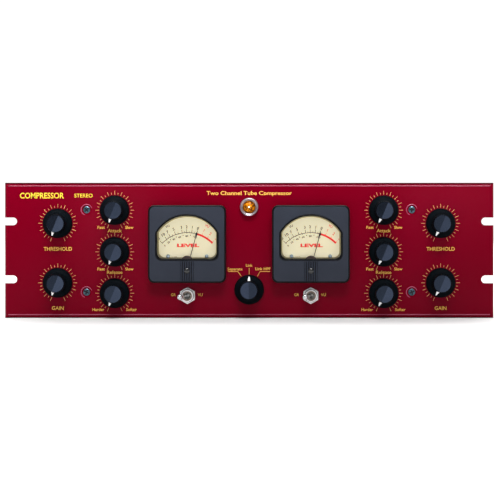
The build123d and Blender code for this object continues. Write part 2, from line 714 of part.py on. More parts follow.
def meter_needle(x):
    """Pointer, balance tail, staff and coil, turned to its place on the scale."""
    back = DIAL_FACE - NEEDLE_Y
    front = back - NEEDLE_THICKNESS
    half = NEEDLE_WIDTH / 2
    end = NEEDLE_LENGTH
    right = [(half, end - 7.6), (1.0, end - 6.2), (half * 0.6, end - 4.6), (0.12, end)]
    left = [(-x_here, z_here) for x_here, z_here in reversed(right)]
    outline = Polyline((-half, -NEEDLE_TAIL), (half, -NEEDLE_TAIL), *right, *left, close=True)
    pointer = plate(make_face(outline), front, back)
    pointer += plate(Circle(1.6), front, back)
    pointer += plate(Pos(0, -NEEDLE_TAIL) * Circle(1.5), front, back)
    pointer += rod(STAFF_RADIUS, front, FACE + STAFF_REACH)
    coil_front, coil_back = FACE + COIL_FRONT, FACE + COIL_FRONT + COIL_DEPTH
    half_width, half_height = COIL_HALF_WIDTH, COIL_HALF_HEIGHT
    coil = block(-half_width, half_width, coil_front, coil_back, -half_height, half_height)
    inner_x = half_width - COIL_WINDING
    inner_front, inner_back = coil_front + COIL_WINDING, coil_back - COIL_WINDING
    coil -= block(-inner_x, inner_x, inner_front, inner_back, -half_height - 1, half_height + 1)
    coil -= rod(STAFF_RADIUS, coil_front - 1, coil_back + 1)
    place = Pos(x, 0, METER_Z + PIVOT_Z) * Rot(0, NEEDLE_ANGLE, 0)
    return group([place * pointer, place * coil])


def zero_screw(x):
    """The black adjuster on the meter's face, with its off-centre pin behind."""
    face, wall = METER_FACE, METER_FACE + METER_FRONT_WALL
    radius, crown = ZERO_RADIUS, face - ZERO_HEIGHT
    screw = domed(radius, face - FIT, crown) + rod(ZERO_STEM_RADIUS, face - FIT, wall + 1.2)
    screw -= block(-radius, radius, crown - 1, crown + 0.7, -0.4, 0.4)
    screw += rod(0.5, wall + 1.2, wall + 1.7, 0, 1.0)
    return Pos(x, 0, METER_Z + ZERO_Z) * screw


# ---- lamp -----------------------------------------------------------------------------------
def lamp_bezel():
    tip = FACE - BEZEL_HEIGHT
    inner = JEWEL_RADIUS + FIT
    profile = [
        (inner, FACE + LAMP_SEAT),
        (LAMP_TUBE_RADIUS, FACE + LAMP_SEAT),
        (LAMP_TUBE_RADIUS, FACE),
        (BEZEL_RADIUS, FACE),
        (BEZEL_RADIUS, tip + 1.9),
        (BEZEL_RADIUS - 0.5, tip + 0.7),
        (BEZEL_RADIUS - 1.3, tip),
        (BEZEL_RADIUS - 1.9, tip + 0.4),
        (inner + 0.3, tip + 1.9),
        (inner, tip + 2.0),
    ]
    return turned(profile, 0, LAMP_Z)


def lamp_jewel():
    base, tip = FACE - BEZEL_HEIGHT + 2.6, FACE - JEWEL_HEIGHT
    lens = rod(JEWEL_RADIUS, base, FACE + LAMP_SEAT, 0, LAMP_Z)
    lens += domed(JEWEL_RADIUS, base, tip, 0, LAMP_Z)
    return lens - rod(JEWEL_RADIUS - 2, FACE - 1.0, FACE + 2, 0, LAMP_Z)


def lamp_holder():
    """The threaded tube behind the bezel, its nut and the bulb in it."""
    back = WALL_BACK + LAMP_TUBE_DEPTH
    front = FACE + LAMP_SEAT
    tube = rod(LAMP_TUBE_RADIUS, front, back, 0, LAMP_Z)
    tube -= rod(LAMP_TUBE_RADIUS - 1.2, front - 1, back - 3, 0, LAMP_Z)
    nut = hex_prism(18.0, WALL_BACK, WALL_BACK + 3, 0, LAMP_Z)
    nut -= rod(LAMP_TUBE_RADIUS + FIT, WALL_BACK - 1, WALL_BACK + 4, 0, LAMP_Z)
    tip = FACE + 3.0
    glass = [(0, tip), (1.6, tip + 0.5), (3.0, tip + 2.4), (3.0, tip + 9)]
    cap = [(4.6, tip + 9), (4.6, back - 3), (0, back - 3)]
    return group([tube, nut, turned(glass + cap, 0, LAMP_Z)])


# ---- toggle switches ------------------------------------------------------------------------
def toggle_pivot_y():
    return FACE - TOGGLE_PIVOT


def toggle_body(x):
    mouth = FACE - TOGGLE_BUSHING_REACH
    pivot = toggle_pivot_y()
    body = block(x - 7, x + 7, WALL_BACK, WALL_BACK + 20, TOGGLE_Z - 13.5, TOGGLE_Z + 13.5)
    body += rod(TOGGLE_BUSHING_RADIUS, mouth, WALL_BACK, x, TOGGLE_Z)
    socket = LEVER_BALL_RADIUS + FIT
    bore = [(0, mouth - 1), (4.9, mouth - 1), (4.5, mouth + 0.4), (3.3, pivot - 2), (socket, pivot - 1),
            (socket, pivot + 3.4), (4.2, pivot + 7), (4.2, WALL_BACK + 8), (0, WALL_BACK + 8)]
    body -= turned(bore, x, TOGGLE_Z)
    pin_half = LEVER_PIN_HALF + FIT
    body -= post(LEVER_PIN_RADIUS + FIT, TOGGLE_Z - pin_half, TOGGLE_Z + pin_half, x, pivot)
    for dz in (-9.0, 0.0, 9.0):
        lug_z = TOGGLE_Z + dz
        body += block(x - 3, x + 3, WALL_BACK + 20, WALL_BACK + 28, lug_z - 0.5, lug_z + 0.5)
    return body


def toggle_nuts():
    made = []
    for x, z in toggle_places():
        bore = rod(TOGGLE_BUSHING_RADIUS + FIT, FACE - 6, 1, x, z)
        washer = rod(TOGGLE_WASHER_RADIUS, FACE - TOGGLE_WASHER_HEIGHT, FACE, x, z) - bore
        nut_back = FACE - TOGGLE_WASHER_HEIGHT
        nut = hex_prism(TOGGLE_NUT_FLATS, nut_back - TOGGLE_NUT_HEIGHT, nut_back, x, z)
        chamfer_ring = turned([
            (TOGGLE_NUT_FLATS / 2, nut_back - TOGGLE_NUT_HEIGHT - 0.01),
            (TOGGLE_NUT_FLATS, nut_back - TOGGLE_NUT_HEIGHT - 0.01),
            (TOGGLE_NUT_FLATS, nut_back - 0.4),
        ], x, z)
        made += [washer, nut - bore - chamfer_ring]
    return group(made)


def toggle_lever(x):
    """The bat handle, thrown to the left, with its ball and tail in the bushing."""
    ball = Sphere(LEVER_BALL_RADIUS)
    tip = LEVER_LENGTH
    bat = turned([
        (0, 5.6), (1.0, 5.6), (1.0, 1.0), (LEVER_NECK_RADIUS, -1.0), (LEVER_NECK_RADIUS, -6.0),
        (LEVER_TIP_RADIUS * 0.97, -tip + 0.6), (LEVER_TIP_RADIUS, -tip), (0, -tip),
    ])
    bat += Pos(0, -tip, 0) * Sphere(LEVER_TIP_RADIUS)
    pin = post(LEVER_PIN_RADIUS, -LEVER_PIN_HALF, LEVER_PIN_HALF, 0, 0)
    lever = bat + ball + pin
    return Pos(x, toggle_pivot_y(), TOGGLE_Z) * Rot(0, 0, -TOGGLE_ANGLE) * lever


# ---- back panel -----------------------------------------------------------------------------
def connector_screw_places():
    dx, dz = FLANGE_WIDTH / 2 - 3.4, FLANGE_HEIGHT / 2 - 3.6
    found = [(x + s * dx, AUDIO_Z - s * dz) for x in INPUT_X + OUTPUT_X for s in (-1, 1)]
    return found


def rear_panel():
    half = CASE_WIDTH / 2 - COVER_SHEET
    panel = block(-half, half, CASE_BACK, REAR_FACE, CASE_BOTTOM, PAN_TOP - HOLE_GAP)
    cuts = [rod(M3 + HOLE_GAP, CASE_BACK - 1, REAR_FACE + 1, x, z)
            for x, z in rear_screw_places() + connector_screw_places()]
    cuts += [rod(SHELL_RADIUS + HOLE_GAP, CASE_BACK - 1, REAR_FACE + 1, x, AUDIO_Z)
             for x in INPUT_X + OUTPUT_X]
    for x, z, width, height in (
        (INLET_X, INLET_Z, INLET_WIDTH, INLET_HEIGHT),
        (ROCKER_X, ROCKER_Z, SWITCH_WIDTH, SWITCH_HEIGHT),
    ):
        dx, dz = width / 2 + HOLE_GAP, height / 2 + HOLE_GAP
        cuts.append(block(x - dx, x + dx, CASE_BACK - 1, REAR_FACE + 1, z - dz, z + dz))
    for x in INPUT_X:
        cuts.append(latch_space(x, CASE_BACK - 1, REAR_FACE + 1, 2 * HOLE_GAP))
    return panel - cuts


def latch_space(x, y0, y1, gap):
    dx, dz = LATCH_WIDTH / 2 + gap, LATCH_HEIGHT / 2 + gap
    z = AUDIO_Z + LATCH_Z
    return block(x - dx, x + dx, y0, y1, z - dz, z + dz)


def connector_flange(x):
    sketch = RectangleRounded(FLANGE_WIDTH, FLANGE_HEIGHT, 3.0)
    flange = plate(sketch, REAR_FACE, REAR_FACE + FLANGE_THICKNESS, x, AUDIO_Z)
    flange += rod(SHELL_RADIUS, REAR_FACE - SHELL_DEPTH, REAR_FACE + FLANGE_THICKNESS, x, AUDIO_Z)
    return flange - [rod(M3 + HOLE_GAP, REAR_FACE - 1, REAR_FACE + 5, sx, sz)
                     for sx, sz in connector_screw_places() if abs(sx - x) < FLANGE_WIDTH / 2]


def output_plugs():
    """Panel connectors with three pins in a round well."""
    mouth = REAR_FACE + FLANGE_THICKNESS
    floor = mouth - SOCKET_DEPTH
    made = []
    for x in OUTPUT_X:
        shell = connector_flange(x) - rod(SOCKET_RADIUS, floor, mouth + 1, x, AUDIO_Z)
        pins = [rod(PIN_RADIUS, floor - 8, mouth - 2, x + dx, AUDIO_Z + dz) for dx, dz in PIN_PLACES]
        for pin in pins:
            shell -= pin
        made += [shell] + pins
    return group(made)


def input_sockets():
    """Panel connectors: a shell with a slot for the latch, and a round insert with three holes."""
    mouth = REAR_FACE + FLANGE_THICKNESS
    floor = mouth - SOCKET_DEPTH
    made = []
    for x in INPUT_X:
        shell = connector_flange(x) - rod(SOCKET_RADIUS, floor, mouth + 1, x, AUDIO_Z)
        shell -= latch_space(x, REAR_FACE - 8, mouth + 1, HOLE_GAP)
        insert = rod(SOCKET_RADIUS - INSERT_GROOVE, floor, mouth - INSERT_SINK, x, AUDIO_Z)
        for dx, dz in PIN_PLACES:
            insert -= rod(PIN_RADIUS + INSERT_HOLE_GAP, floor - 1, mouth + 1, x - dx, AUDIO_Z + dz)
        made += [shell, insert]
    return group(made)


def input_latch(x):
    """The push tab that lets the plug go: it travels into the panel."""
    mouth = REAR_FACE + FLANGE_THICKNESS
    tab = latch_space(x, REAR_FACE - 5, mouth + LATCH_PROUD, 0)
    return fillet(tab.faces().sort_by(Axis.Y)[-1].edges(), 0.5)


def mains_inlet():
    """Snap-in inlet with three blades in a well, and a pocket for the fuse drawer."""
    mouth = REAR_FACE + INLET_LIP
    w, h = INLET_WIDTH / 2, INLET_HEIGHT / 2
    body = block(INLET_X - w, INLET_X + w, REAR_FACE - INLET_DEPTH, REAR_FACE, INLET_Z - h, INLET_Z + h)
    lip_sketch = RectangleRounded(INLET_WIDTH + 5, INLET_HEIGHT + 5, 2.5)
    lip = plate(lip_sketch, REAR_FACE, mouth, INLET_X, INLET_Z)
    body += fillet(lip.faces().sort_by(Axis.Y)[-1].edges(), 1.0)
    well_z = INLET_Z + CAVITY_Z
    cw, ch, cut = CAVITY_WIDTH / 2, CAVITY_HEIGHT / 2, 5.0
    upper = [(cw, ch - cut), (cw - cut, ch), (cut - cw, ch), (-cw, ch - cut)]
    outline = Polyline((-cw, -ch), (cw, -ch), *upper, close=True)
    body -= plate(make_face(outline), mouth - CAVITY_DEPTH, mouth + 1, INLET_X, well_z)
    blades = []
    for dx, dz in ((-7.0, -2.0), (0.0, 2.0), (7.0, -2.0)):
        x, z = INLET_X + dx, well_z + dz
        blade = block(x - 1, x + 1, mouth - CAVITY_DEPTH - 6, mouth - 2.5, z - 2, z + 2)
        body -= blade
        blades.append(blade)
        tail = block(x - 0.5, x + 0.5, REAR_FACE - INLET_DEPTH - 7, REAR_FACE - INLET_DEPTH, z - 2, z + 2)
        blades.append(tail)
    body -= drawer_space(HOLE_GAP, 1.0)
    return group([body] + blades)


def drawer_space(gap, extra=0.0):
    mouth = REAR_FACE + INLET_LIP
    dx, dz = DRAWER_WIDTH / 2 + gap, DRAWER_HEIGHT / 2 + gap
    z = INLET_Z + DRAWER_Z
    return block(INLET_X - dx, INLET_X + dx, mouth - DRAWER_DEPTH - gap, mouth + extra, z - dz, z + dz)


def fuse_drawer():
    """The drawer, a fuse in its tray and a finger lip at its front."""
    mouth = REAR_FACE + INLET_LIP
    z = INLET_Z + DRAWER_Z
    tray = drawer_space(0)
    inner, outer = mouth - DRAWER_DEPTH + 1.5, mouth - 3
    half = DRAWER_WIDTH / 2
    tray -= block(INLET_X - 3, INLET_X + 3, inner, outer, z - 2.6, z + DRAWER_HEIGHT)
    lip = block(INLET_X - half, INLET_X + half, mouth, mouth + 1.6, z - DRAWER_HEIGHT / 2, z - 1)
    tray += fillet(lip.edges().filter_by(Axis.X), 0.5)
    fuse = rod(2.5, inner, outer, INLET_X, z - 0.1)
    return group([tray, fuse])


def power_switch_frame():
    mouth = REAR_FACE + 2.0
    w, h = SWITCH_WIDTH / 2, SWITCH_HEIGHT / 2
    back = REAR_FACE - SWITCH_DEPTH
    body = block(ROCKER_X - w, ROCKER_X + w, back, REAR_FACE, ROCKER_Z - h, ROCKER_Z + h)
    lip_sketch = RectangleRounded(SWITCH_WIDTH + 4, SWITCH_HEIGHT + 4, 2.0)
    lip = plate(lip_sketch, REAR_FACE, mouth, ROCKER_X, ROCKER_Z)
    body += fillet(lip.faces().sort_by(Axis.Y)[-1].edges(), 0.8)
    w, h = w - SWITCH_WALL, h - SWITCH_WALL
    body -= block(ROCKER_X - w, ROCKER_X + w, mouth - 9, mouth + 1, ROCKER_Z - h, ROCKER_Z + h)
    body -= rod_x(ROCKER_PIN + FIT, ROCKER_X - w - 0.9, ROCKER_X + w + 0.9, REAR_FACE - 1.0, ROCKER_Z)
    for z in (ROCKER_Z - 8.0, ROCKER_Z):
        body += block(ROCKER_X - 3, ROCKER_X + 3, back - 8, back, z - 0.4, z + 0.4)
    return body


def rod_x(radius, x0, x1, y, z):
    """A round bar along X."""
    return Pos((x0 + x1) / 2, y, z) * Rot(0, 90, 0) * Cylinder(radius, x1 - x0)


def power_rocker():
    """A shallow V of a rocker on a cross pin, its upper end pressed in."""
    half = SWITCH_HEIGHT / 2 - SWITCH_WALL - 0.8
    side = SWITCH_WIDTH / 2 - SWITCH_WALL - HOLE_GAP
    rise = 2.3
    lower = [(-4.5, -half + 3), (-1.0, -half), (rise, -half + 0.3)]
    upper = [(y, -z) for y, z in reversed(lower)]
    outline = Polyline(*lower, (rise - 1.6, 0), *upper, close=True)
    shape = extrude(Plane.YZ * make_face(outline), side, both=True)
    shape += rod_x(ROCKER_PIN, -side - 1.0, side + 1.0, 0, 0)
    return Pos(ROCKER_X, REAR_FACE - 1.0, ROCKER_Z) * Rot(ROCKER_ANGLE, 0, 0) * shape


# ---- inside ---------------------------------------------------------------------------------
def board_posts(centre_x, centre_y, size):
    dx, dy = size[0] / 2 - BOARD_INSET, size[1] / 2 - BOARD_INSET
    return [(centre_x + sx * dx, centre_y + sy * dy) for sx in (-1, 1) for sy in (-1, 1)]


def case_post_places():
    places = board_posts(SUPPLY_X, SUPPLY_Y, SUPPLY_BOARD)
    for sign in SIDES.values():
        places += board_posts(sign * AMPLIFIER_X, AMPLIFIER_Y, AMPLIFIER_BOARD)
    return places


def board(centre_x, centre_y, size):
    made = Pos(centre_x, centre_y, BOARD_TOP - BOARD_THICKNESS / 2) * Box(*size, BOARD_THICKNESS)
    made -= [post(M3 + FIT, FLOOR, BOARD_TOP + 5, x, y) for x, y in board_posts(centre_x, centre_y, size)]
    return made


def board_standoffs():
    """Hexagonal pillars, each with a screw from below and one through the board."""
    made = []
    base = BOARD_TOP - BOARD_THICKNESS
    for x, y in case_post_places():
        pillar = Pos(x, y, FLOOR) * extrude(RegularPolygon(STANDOFF_FLATS / 3**0.5, 6), STANDOFF_HEIGHT)
        made.append(pillar + post(M3 - FIT, CASE_BOTTOM, FLOOR, x, y))
        head = turned_up(head_profile(BOARD_TOP), x, y)
        made.append(head + post(M3 - FIT, base, BOARD_TOP, x, y))
    return group(made)


def valve_places():
    return [(side * AMPLIFIER_X + dx, AMPLIFIER_Y + VALVE_Y) for side in SIDES.values() for dx in VALVE_X]


def valve_sockets():
    """Ceramic bases with a ring groove for the valves' pins."""
    made = []
    top = BOARD_TOP + SOCKET_BASE_HEIGHT
    for x, y in valve_places():
        base = post(SOCKET_BASE_RADIUS, BOARD_TOP, top, x, y) - post(3.0, BOARD_TOP - 1, top + 1, x, y)
        ring = post(VALVE_PIN_CIRCLE + 0.8, top - 6, top + 1, x, y)
        ring -= post(VALVE_PIN_CIRCLE - 0.8, top - 6, top + 1, x, y)
        made.append(base - ring)
    return group(made)


def valves():
    """Small glass valves: envelope, button base with nine pins, and the electrodes inside."""
    made = []
    low = BOARD_TOP + SOCKET_BASE_HEIGHT
    wall, r, top = 0.8, VALVE_RADIUS, low + VALVE_HEIGHT
    outside = [(r, low + 2.0), (r, top - 6), (r * 0.72, top - 1.6), (2.2, top), (0.9, top + 5),
               (0, top + 6)]
    inside = [(0, top - 1), (1.2, top - 1.2), (r * 0.66, top - 2.8), (r - wall, top - 6.6),
              (r - wall, low + 2.0)]
    for x, y in valve_places():
        made.append(turned_up(outside + inside, x, y))
        base = post(r, low, low + 2.0, x, y)
        for i in range(9):
            base += Pos(x, y, 0) * Rot(0, 0, 36 * i + 18) * post(0.5, low - 5, low, VALVE_PIN_CIRCLE, 0)
        made.append(base)
        cage = block(x - 6, x + 6, y - 4, y + 4, low + 6, low + 34)
        cage += post(7.4, low + 5, low + 6, x, y) + post(7.4, low + 34, low + 35, x, y)
        cage += post(0.6, low + 2, low + 5, x - 4, y) + post(0.6, low + 2, low + 5, x + 4, y)
        made.append(cage)
    return group(made)


def filter_capacitors():
    made = []
    low, top, r = BOARD_TOP, BOARD_TOP + CAPACITOR_HEIGHT, CAPACITOR_RADIUS
    can = [(0, low), (r, low), (r, low + 3), (r - 0.6, low + 3.6), (r, low + 4.2), (r, top - 1.2)]
    rim = [(r - 1.2, top), (r - 3, top), (r - 3.4, top - 0.5), (0, top - 0.5)]
    for dx, dy in CAPACITOR_PLACES:
        made.append(turned_up(can + rim, SUPPLY_X + dx, SUPPLY_Y + dy))
    return group(made)


def mains_transformer():
    """Laminated core, its winding, and the strap that holds it to the case's floor."""
    w, h, stack = CORE_WIDTH / 2, CORE_HEIGHT, CORE_STACK / 2
    low = FLOOR + SHEET
    limb = CORE_WIDTH / 6
    near, far = CORE_Y - stack, CORE_Y + stack
    core = block(CORE_X - w, CORE_X + w, near, far, low, low + h)
    reach, gap = 2 * limb - HOLE_GAP, HOLE_GAP
    winding = block(CORE_X - reach, CORE_X + reach, near - WINDING_BULGE, far + WINDING_BULGE,
                    low + limb + gap, low + h - limb - gap)
    winding = fillet(winding.edges().filter_by(Axis.Z), 5.0)
    for s in (-1, 1):
        inner, outer = CORE_X + s * limb, CORE_X + s * 2 * limb
        core -= block(inner, outer, near - 1, far + 1, low + limb, low + h - limb)
    winding -= block(CORE_X - limb, CORE_X + limb, near, far, low, low + h)
    outside = w + SHEET
    front, back = near + 4, far - 4
    strap = block(CORE_X - outside, CORE_X + outside, front, back, FLOOR, low + h + SHEET)
    strap -= block(CORE_X - w, CORE_X + w, near, far, low, low + h)
    for s in (-1, 1):
        inner = CORE_X + s * (w + SHEET)
        strap += block(inner, inner + s * STRAP_EAR, front, back, FLOOR, FLOOR + SHEET)
    strap -= [post(M3 + HOLE_GAP, FLOOR - 1, FLOOR + 3, x, y) for x, y in strap_screw_places()]
    return group([core, winding, strap])


def can_screw_y():
    return (CAN_Y - CAN_FLANGE[1] / 2 + 2.8, CAN_Y + CAN_FLANGE[1] / 2 - 2.8)


def strap_screw_places():
    x = CORE_WIDTH / 2 + SHEET + STRAP_EAR / 2 + 0.6
    return [(CORE_X + s * x, CORE_Y + dy) for s in (-1, 1) for dy in (-7.0, 7.0)]


def floor_screw_places():
    """(x, y, height of the head's seat) of every screw that stands on the case's floor."""
    cans = [(x, y, FLOOR + CAN_FLANGE_THICKNESS) for x in CAN_X for y in can_screw_y()]
    return cans + [(x, y, FLOOR + SHEET) for x, y in strap_screw_places()]


def audio_transformers():
    """Screened cans, each on a flanged base."""
    made = []
    low, top = FLOOR + CAN_FLANGE_THICKNESS, FLOOR + CAN_HEIGHT
    r = CAN_RADIUS
    for x in CAN_X:
        can = turned_up([(0, low), (r, low), (r, top - 2), (r - 2, top), (0, top)], x, CAN_Y)
        sketch = RectangleRounded(*CAN_FLANGE, 4)
        flange = Pos(x, CAN_Y, FLOOR) * extrude(sketch, CAN_FLANGE_THICKNESS)
        for y in can_screw_y():
            flange -= post(M3 + HOLE_GAP, FLOOR - 1, low + 1, x, y)
        made += [can, flange]
    return group(made)


# ---- everything, by node name ---------------------------------------------------------------
def nodes():
    pot_back = WALL_BACK + POT_DEPTH
    switch_back = WALL_BACK + SELECTOR_DEPTH
    made = {
        "front_panel": front_panel(),
        "panel_screws": panel_screws(),
        "chassis_pan": chassis_pan(),
        "rear_panel": rear_panel(),
        "top_cover": top_cover(),
        "case_screws": case_screws(),
        "rubber_feet": rubber_feet(),
        "lamp_bezel": lamp_bezel(),
        "lamp_jewel": lamp_jewel(),
        "lamp_holder": lamp_holder(),
        "toggle_nuts": toggle_nuts(),
        "potentiometer_bodies": potentiometer_bodies(),
        "selector_body": selector_body(),
        "panel_nuts": panel_nuts(),
        "input_sockets": input_sockets(),
        "output_plugs": output_plugs(),
        "mains_inlet": mains_inlet(),
        "fuse_drawer": fuse_drawer(),
        "power_switch_frame": power_switch_frame(),
        "power_rocker": power_rocker(),
        "mains_transformer": mains_transformer(),
        "audio_transformers": audio_transformers(),
        "supply_board": board(SUPPLY_X, SUPPLY_Y, SUPPLY_BOARD),
        "valve_sockets": valve_sockets(),
        "valves": valves(),
        "filter_capacitors": filter_capacitors(),
        "board_standoffs": board_standoffs(),
        "selector_knob": knob_node((0.0, SELECTOR_Z), 0.0, switch_back, SELECTOR_RADIUS - BODY_WALL - 1.5),
    }
    for name, place in control_places().items():
        made[name] = knob_node(place, -START_ANGLE, pot_back, POT_RADIUS - BODY_WALL - 1.0)
    for side, sign in SIDES.items():
        x = sign * METER_X
        made[f"meter_case_{side}"] = meter_case(x)
        made[f"meter_window_{side}"] = meter_window(x)
        made[f"meter_dial_{side}"] = meter_dial(x)
        made[f"meter_barrel_{side}"] = meter_barrel(x)
        made[f"meter_movement_{side}"] = meter_movement(x)
        made[f"meter_needle_{side}"] = meter_needle(x)
        made[f"zero_screw_{side}"] = zero_screw(x)
        made[f"toggle_body_{side}"] = toggle_body(x)
        made[f"toggle_lever_{side}"] = toggle_lever(x)
        made[f"amplifier_board_{side}"] = board(sign * AMPLIFIER_X, AMPLIFIER_Y, AMPLIFIER_BOARD)
        made[f"input_latch_{side}"] = input_latch(INPUT_X[0] if sign < 0 else INPUT_X[1])
    return made


os.makedirs("parts", exist_ok=True)
for node_name, shape in nodes().items():
    export_step(shape, f"parts/{node_name}.step")
print(len(os.listdir("parts")), "parts written")
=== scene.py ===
import math

import bmesh
import bpy
from mathutils import Matrix, Vector


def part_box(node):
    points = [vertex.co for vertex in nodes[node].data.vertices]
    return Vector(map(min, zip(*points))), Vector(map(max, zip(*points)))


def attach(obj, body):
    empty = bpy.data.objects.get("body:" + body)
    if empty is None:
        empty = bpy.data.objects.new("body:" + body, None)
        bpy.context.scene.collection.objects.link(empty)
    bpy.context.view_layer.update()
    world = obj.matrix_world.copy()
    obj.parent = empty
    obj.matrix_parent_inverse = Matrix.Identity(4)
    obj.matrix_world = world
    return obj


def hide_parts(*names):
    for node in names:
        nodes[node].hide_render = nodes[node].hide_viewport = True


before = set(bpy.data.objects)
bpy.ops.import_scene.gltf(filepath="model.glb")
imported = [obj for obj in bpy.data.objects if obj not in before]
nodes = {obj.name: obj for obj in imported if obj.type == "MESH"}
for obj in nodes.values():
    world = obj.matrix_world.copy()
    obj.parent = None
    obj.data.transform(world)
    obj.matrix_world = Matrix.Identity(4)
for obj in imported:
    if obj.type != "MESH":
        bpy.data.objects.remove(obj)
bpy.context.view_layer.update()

mm = 0.001
sides = {"left": -1, "right": 1}


# where things are, read from the frame, in millimetres

def corners(node):
    lo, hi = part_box(node)
    return Vector(lo) / mm, Vector(hi) / mm


def middle(node):
    lo, hi = corners(node)
    return (lo + hi) / 2


panelLo, panelHi = corners("front_panel")
faceY = panelLo.y  # the panel's front plane
knobNodes = [name for name in nodes if "_knob" in name]


# materials

def rgb(r, g, b):
    def linear(c):
        c = c / 255
        return c / 12.92 if c <= 0.04045 else ((c + 0.055) / 1.055) ** 2.4
    return (linear(r), linear(g), linear(b), 1)


def grey(tone):
    return (tone, tone, tone, 1)


def newMaterial(name, color, roughness, metallic=0.0, specular=0.5, coat=0.0):
    mat = bpy.data.materials.new(name)
    mat.use_nodes = True
    shader = mat.node_tree.nodes["Principled BSDF"]
    shader.inputs["Base Color"].default_value = color
    shader.inputs["Roughness"].default_value = roughness
    shader.inputs["Metallic"].default_value = metallic
    shader.inputs["Specular IOR Level"].default_value = specular
    shader.inputs["Coat Weight"].default_value = coat
    shader.inputs["Coat Roughness"].default_value = 0.12
    mat.diffuse_color = color
    return mat, mat.node_tree, shader


def addNode(tree, kind, **values):
    node = tree.nodes.new(kind)
    for key, value in values.items():
        if key in node.inputs:
            node.inputs[key].default_value = value
        else:
            setattr(node, key, value)
    return node


def addRamp(tree, stops):
    ramp = addNode(tree, "ShaderNodeValToRGB")
    marks = ramp.color_ramp.elements
    for mark, (position, color) in zip(marks, (stops[0], stops[-1])):
        mark.position = position
        mark.color = color
    for position, color in stops[1:-1]:
        marks.new(position).color = color
    return ramp


def colorSockets(sockets):
    return [socket for socket in sockets if socket.type == "RGBA"]


def addGlow(mat, color, strength):
    shader = mat.node_tree.nodes["Principled BSDF"]
    shader.inputs["Emission Color"].default_value = color
    shader.inputs["Emission Strength"].default_value = strength


def objectNoise(tree, scale, detail, stretch=(1, 1, 1)):
    coords = addNode(tree, "ShaderNodeTexCoord")
    mapping = addNode(tree, "ShaderNodeMapping")
    mapping.inputs["Scale"].default_value = stretch
    noise = addNode(tree, "ShaderNodeTexNoise", Scale=scale, Detail=detail, Roughness=0.55)
    tree.links.new(coords.outputs["Object"], mapping.inputs["Vector"])
    tree.links.new(mapping.outputs["Vector"], noise.inputs["Vector"])
    return noise.outputs["Fac"]


def varyColor(tree, shader, fac, dark, light):
    ramp = addRamp(tree, [(0.3, dark), (0.7, light)])
    tree.links.new(fac, ramp.inputs["Fac"])
    tree.links.new(ramp.outputs["Color"], shader.inputs["Base Color"])


def varyRoughness(tree, shader, fac, low, high):
    spread = addNode(tree, "ShaderNodeMapRange")
    spread.inputs["To Min"].default_value = low
    spread.inputs["To Max"].default_value = high
    tree.links.new(fac, spread.inputs["Value"])
    tree.links.new(spread.outputs["Result"], shader.inputs["Roughness"])


def addBump(tree, shader, fac, strength, distance):
    bump = addNode(tree, "ShaderNodeBump", Strength=strength, Distance=distance)
    tree.links.new(fac, bump.inputs["Height"])
    tree.links.new(bump.outputs["Normal"], shader.inputs["Normal"])


def enamel():
    mat, tree, shader = newMaterial("burgundyEnamel", rgb(106, 0, 21), 0.15, specular=0.07)
    shader.inputs["Specular Tint"].default_value = (1, 0.4, 0.55, 1)
    varyColor(tree, shader, objectNoise(tree, 9, 2), rgb(105, 0, 20), rgb(108, 0, 23))
    varyRoughness(tree, shader, objectNoise(tree, 60, 3), 0.11, 0.18)
    addBump(tree, shader, objectNoise(tree, 420, 2), 0.05, 0.0004)  # orange peel
    return mat


def powderCoat():
    mat, tree, shader = newMaterial("charcoalPowderCoat", rgb(40, 41, 44), 0.55, specular=0.4)
    varyColor(tree, shader, objectNoise(tree, 25, 3), rgb(37, 38, 41), rgb(45, 46, 49))
    addBump(tree, shader, objectNoise(tree, 1500, 3), 0.35, 0.0002)
    return mat


def metal(name, color, roughness, grain=300, spread=0.08, stretch=(1, 1, 1)):
    mat, tree, shader = newMaterial(name, color, roughness, metallic=1.0)
    fac = objectNoise(tree, grain, 3, stretch)
    varyRoughness(tree, shader, fac, max(roughness - spread, 0.03), roughness + spread)
    addBump(tree, shader, fac, 0.05, 0.0001)
    return mat


def plastic(name, color, roughness, grain=900, bump=0.12, coat=0.0, specular=0.5, lift=1.15):
    mat, tree, shader = newMaterial(name, color, roughness, coat=coat, specular=specular)
    lighter = tuple(min(c * lift, 1) for c in color[:3]) + (1,)
    varyColor(tree, shader, objectNoise(tree, 40, 3), color, lighter)
    varyRoughness(tree, shader, objectNoise(tree, 120, 3), roughness - 0.05, roughness + 0.05)
    addBump(tree, shader, objectNoise(tree, grain, 3), bump, 0.0001)
    return mat


def clearGlass(name, tint=(1, 1, 1, 1), roughness=0.02):
    mat = bpy.data.materials.new(name)
    mat.use_nodes = True
    tree = mat.node_tree
    tree.nodes.remove(tree.nodes["Principled BSDF"])
    see = addNode(tree, "ShaderNodeBsdfTransparent", Color=tint)
    shine = addNode(tree, "ShaderNodeBsdfGlossy", Roughness=roughness)
    fresnel = addNode(tree, "ShaderNodeFresnel", IOR=1.35)
    mix = addNode(tree, "ShaderNodeMixShader")
    tree.links.new(fresnel.outputs["Fac"], mix.inputs["Fac"])
    tree.links.new(see.outputs["BSDF"], mix.inputs[1])
    tree.links.new(shine.outputs["BSDF"], mix.inputs[2])
    tree.links.new(mix.outputs["Shader"], tree.nodes["Material Output"].inputs["Surface"])
    return mat


jewelLook = {"reach": 0.0062, "cell": 820.0, "spot": (0.0012, 0.0004), "spotColor": (1, 0.92, 0.8, 1),
             "depths": [(0, (0.95, 0.42, 0.02, 1)), (0.25, (0.6, 0.2, 0, 1)), (0.6, (0.66, 0.2, 0, 1)),
                        (1, (0.3, 0.08, 0, 1))],
             "cells": [(0.38, (0.04, 0.012, 0, 1)), (0.6, (1, 1, 1, 1))], "glow": 0.3}


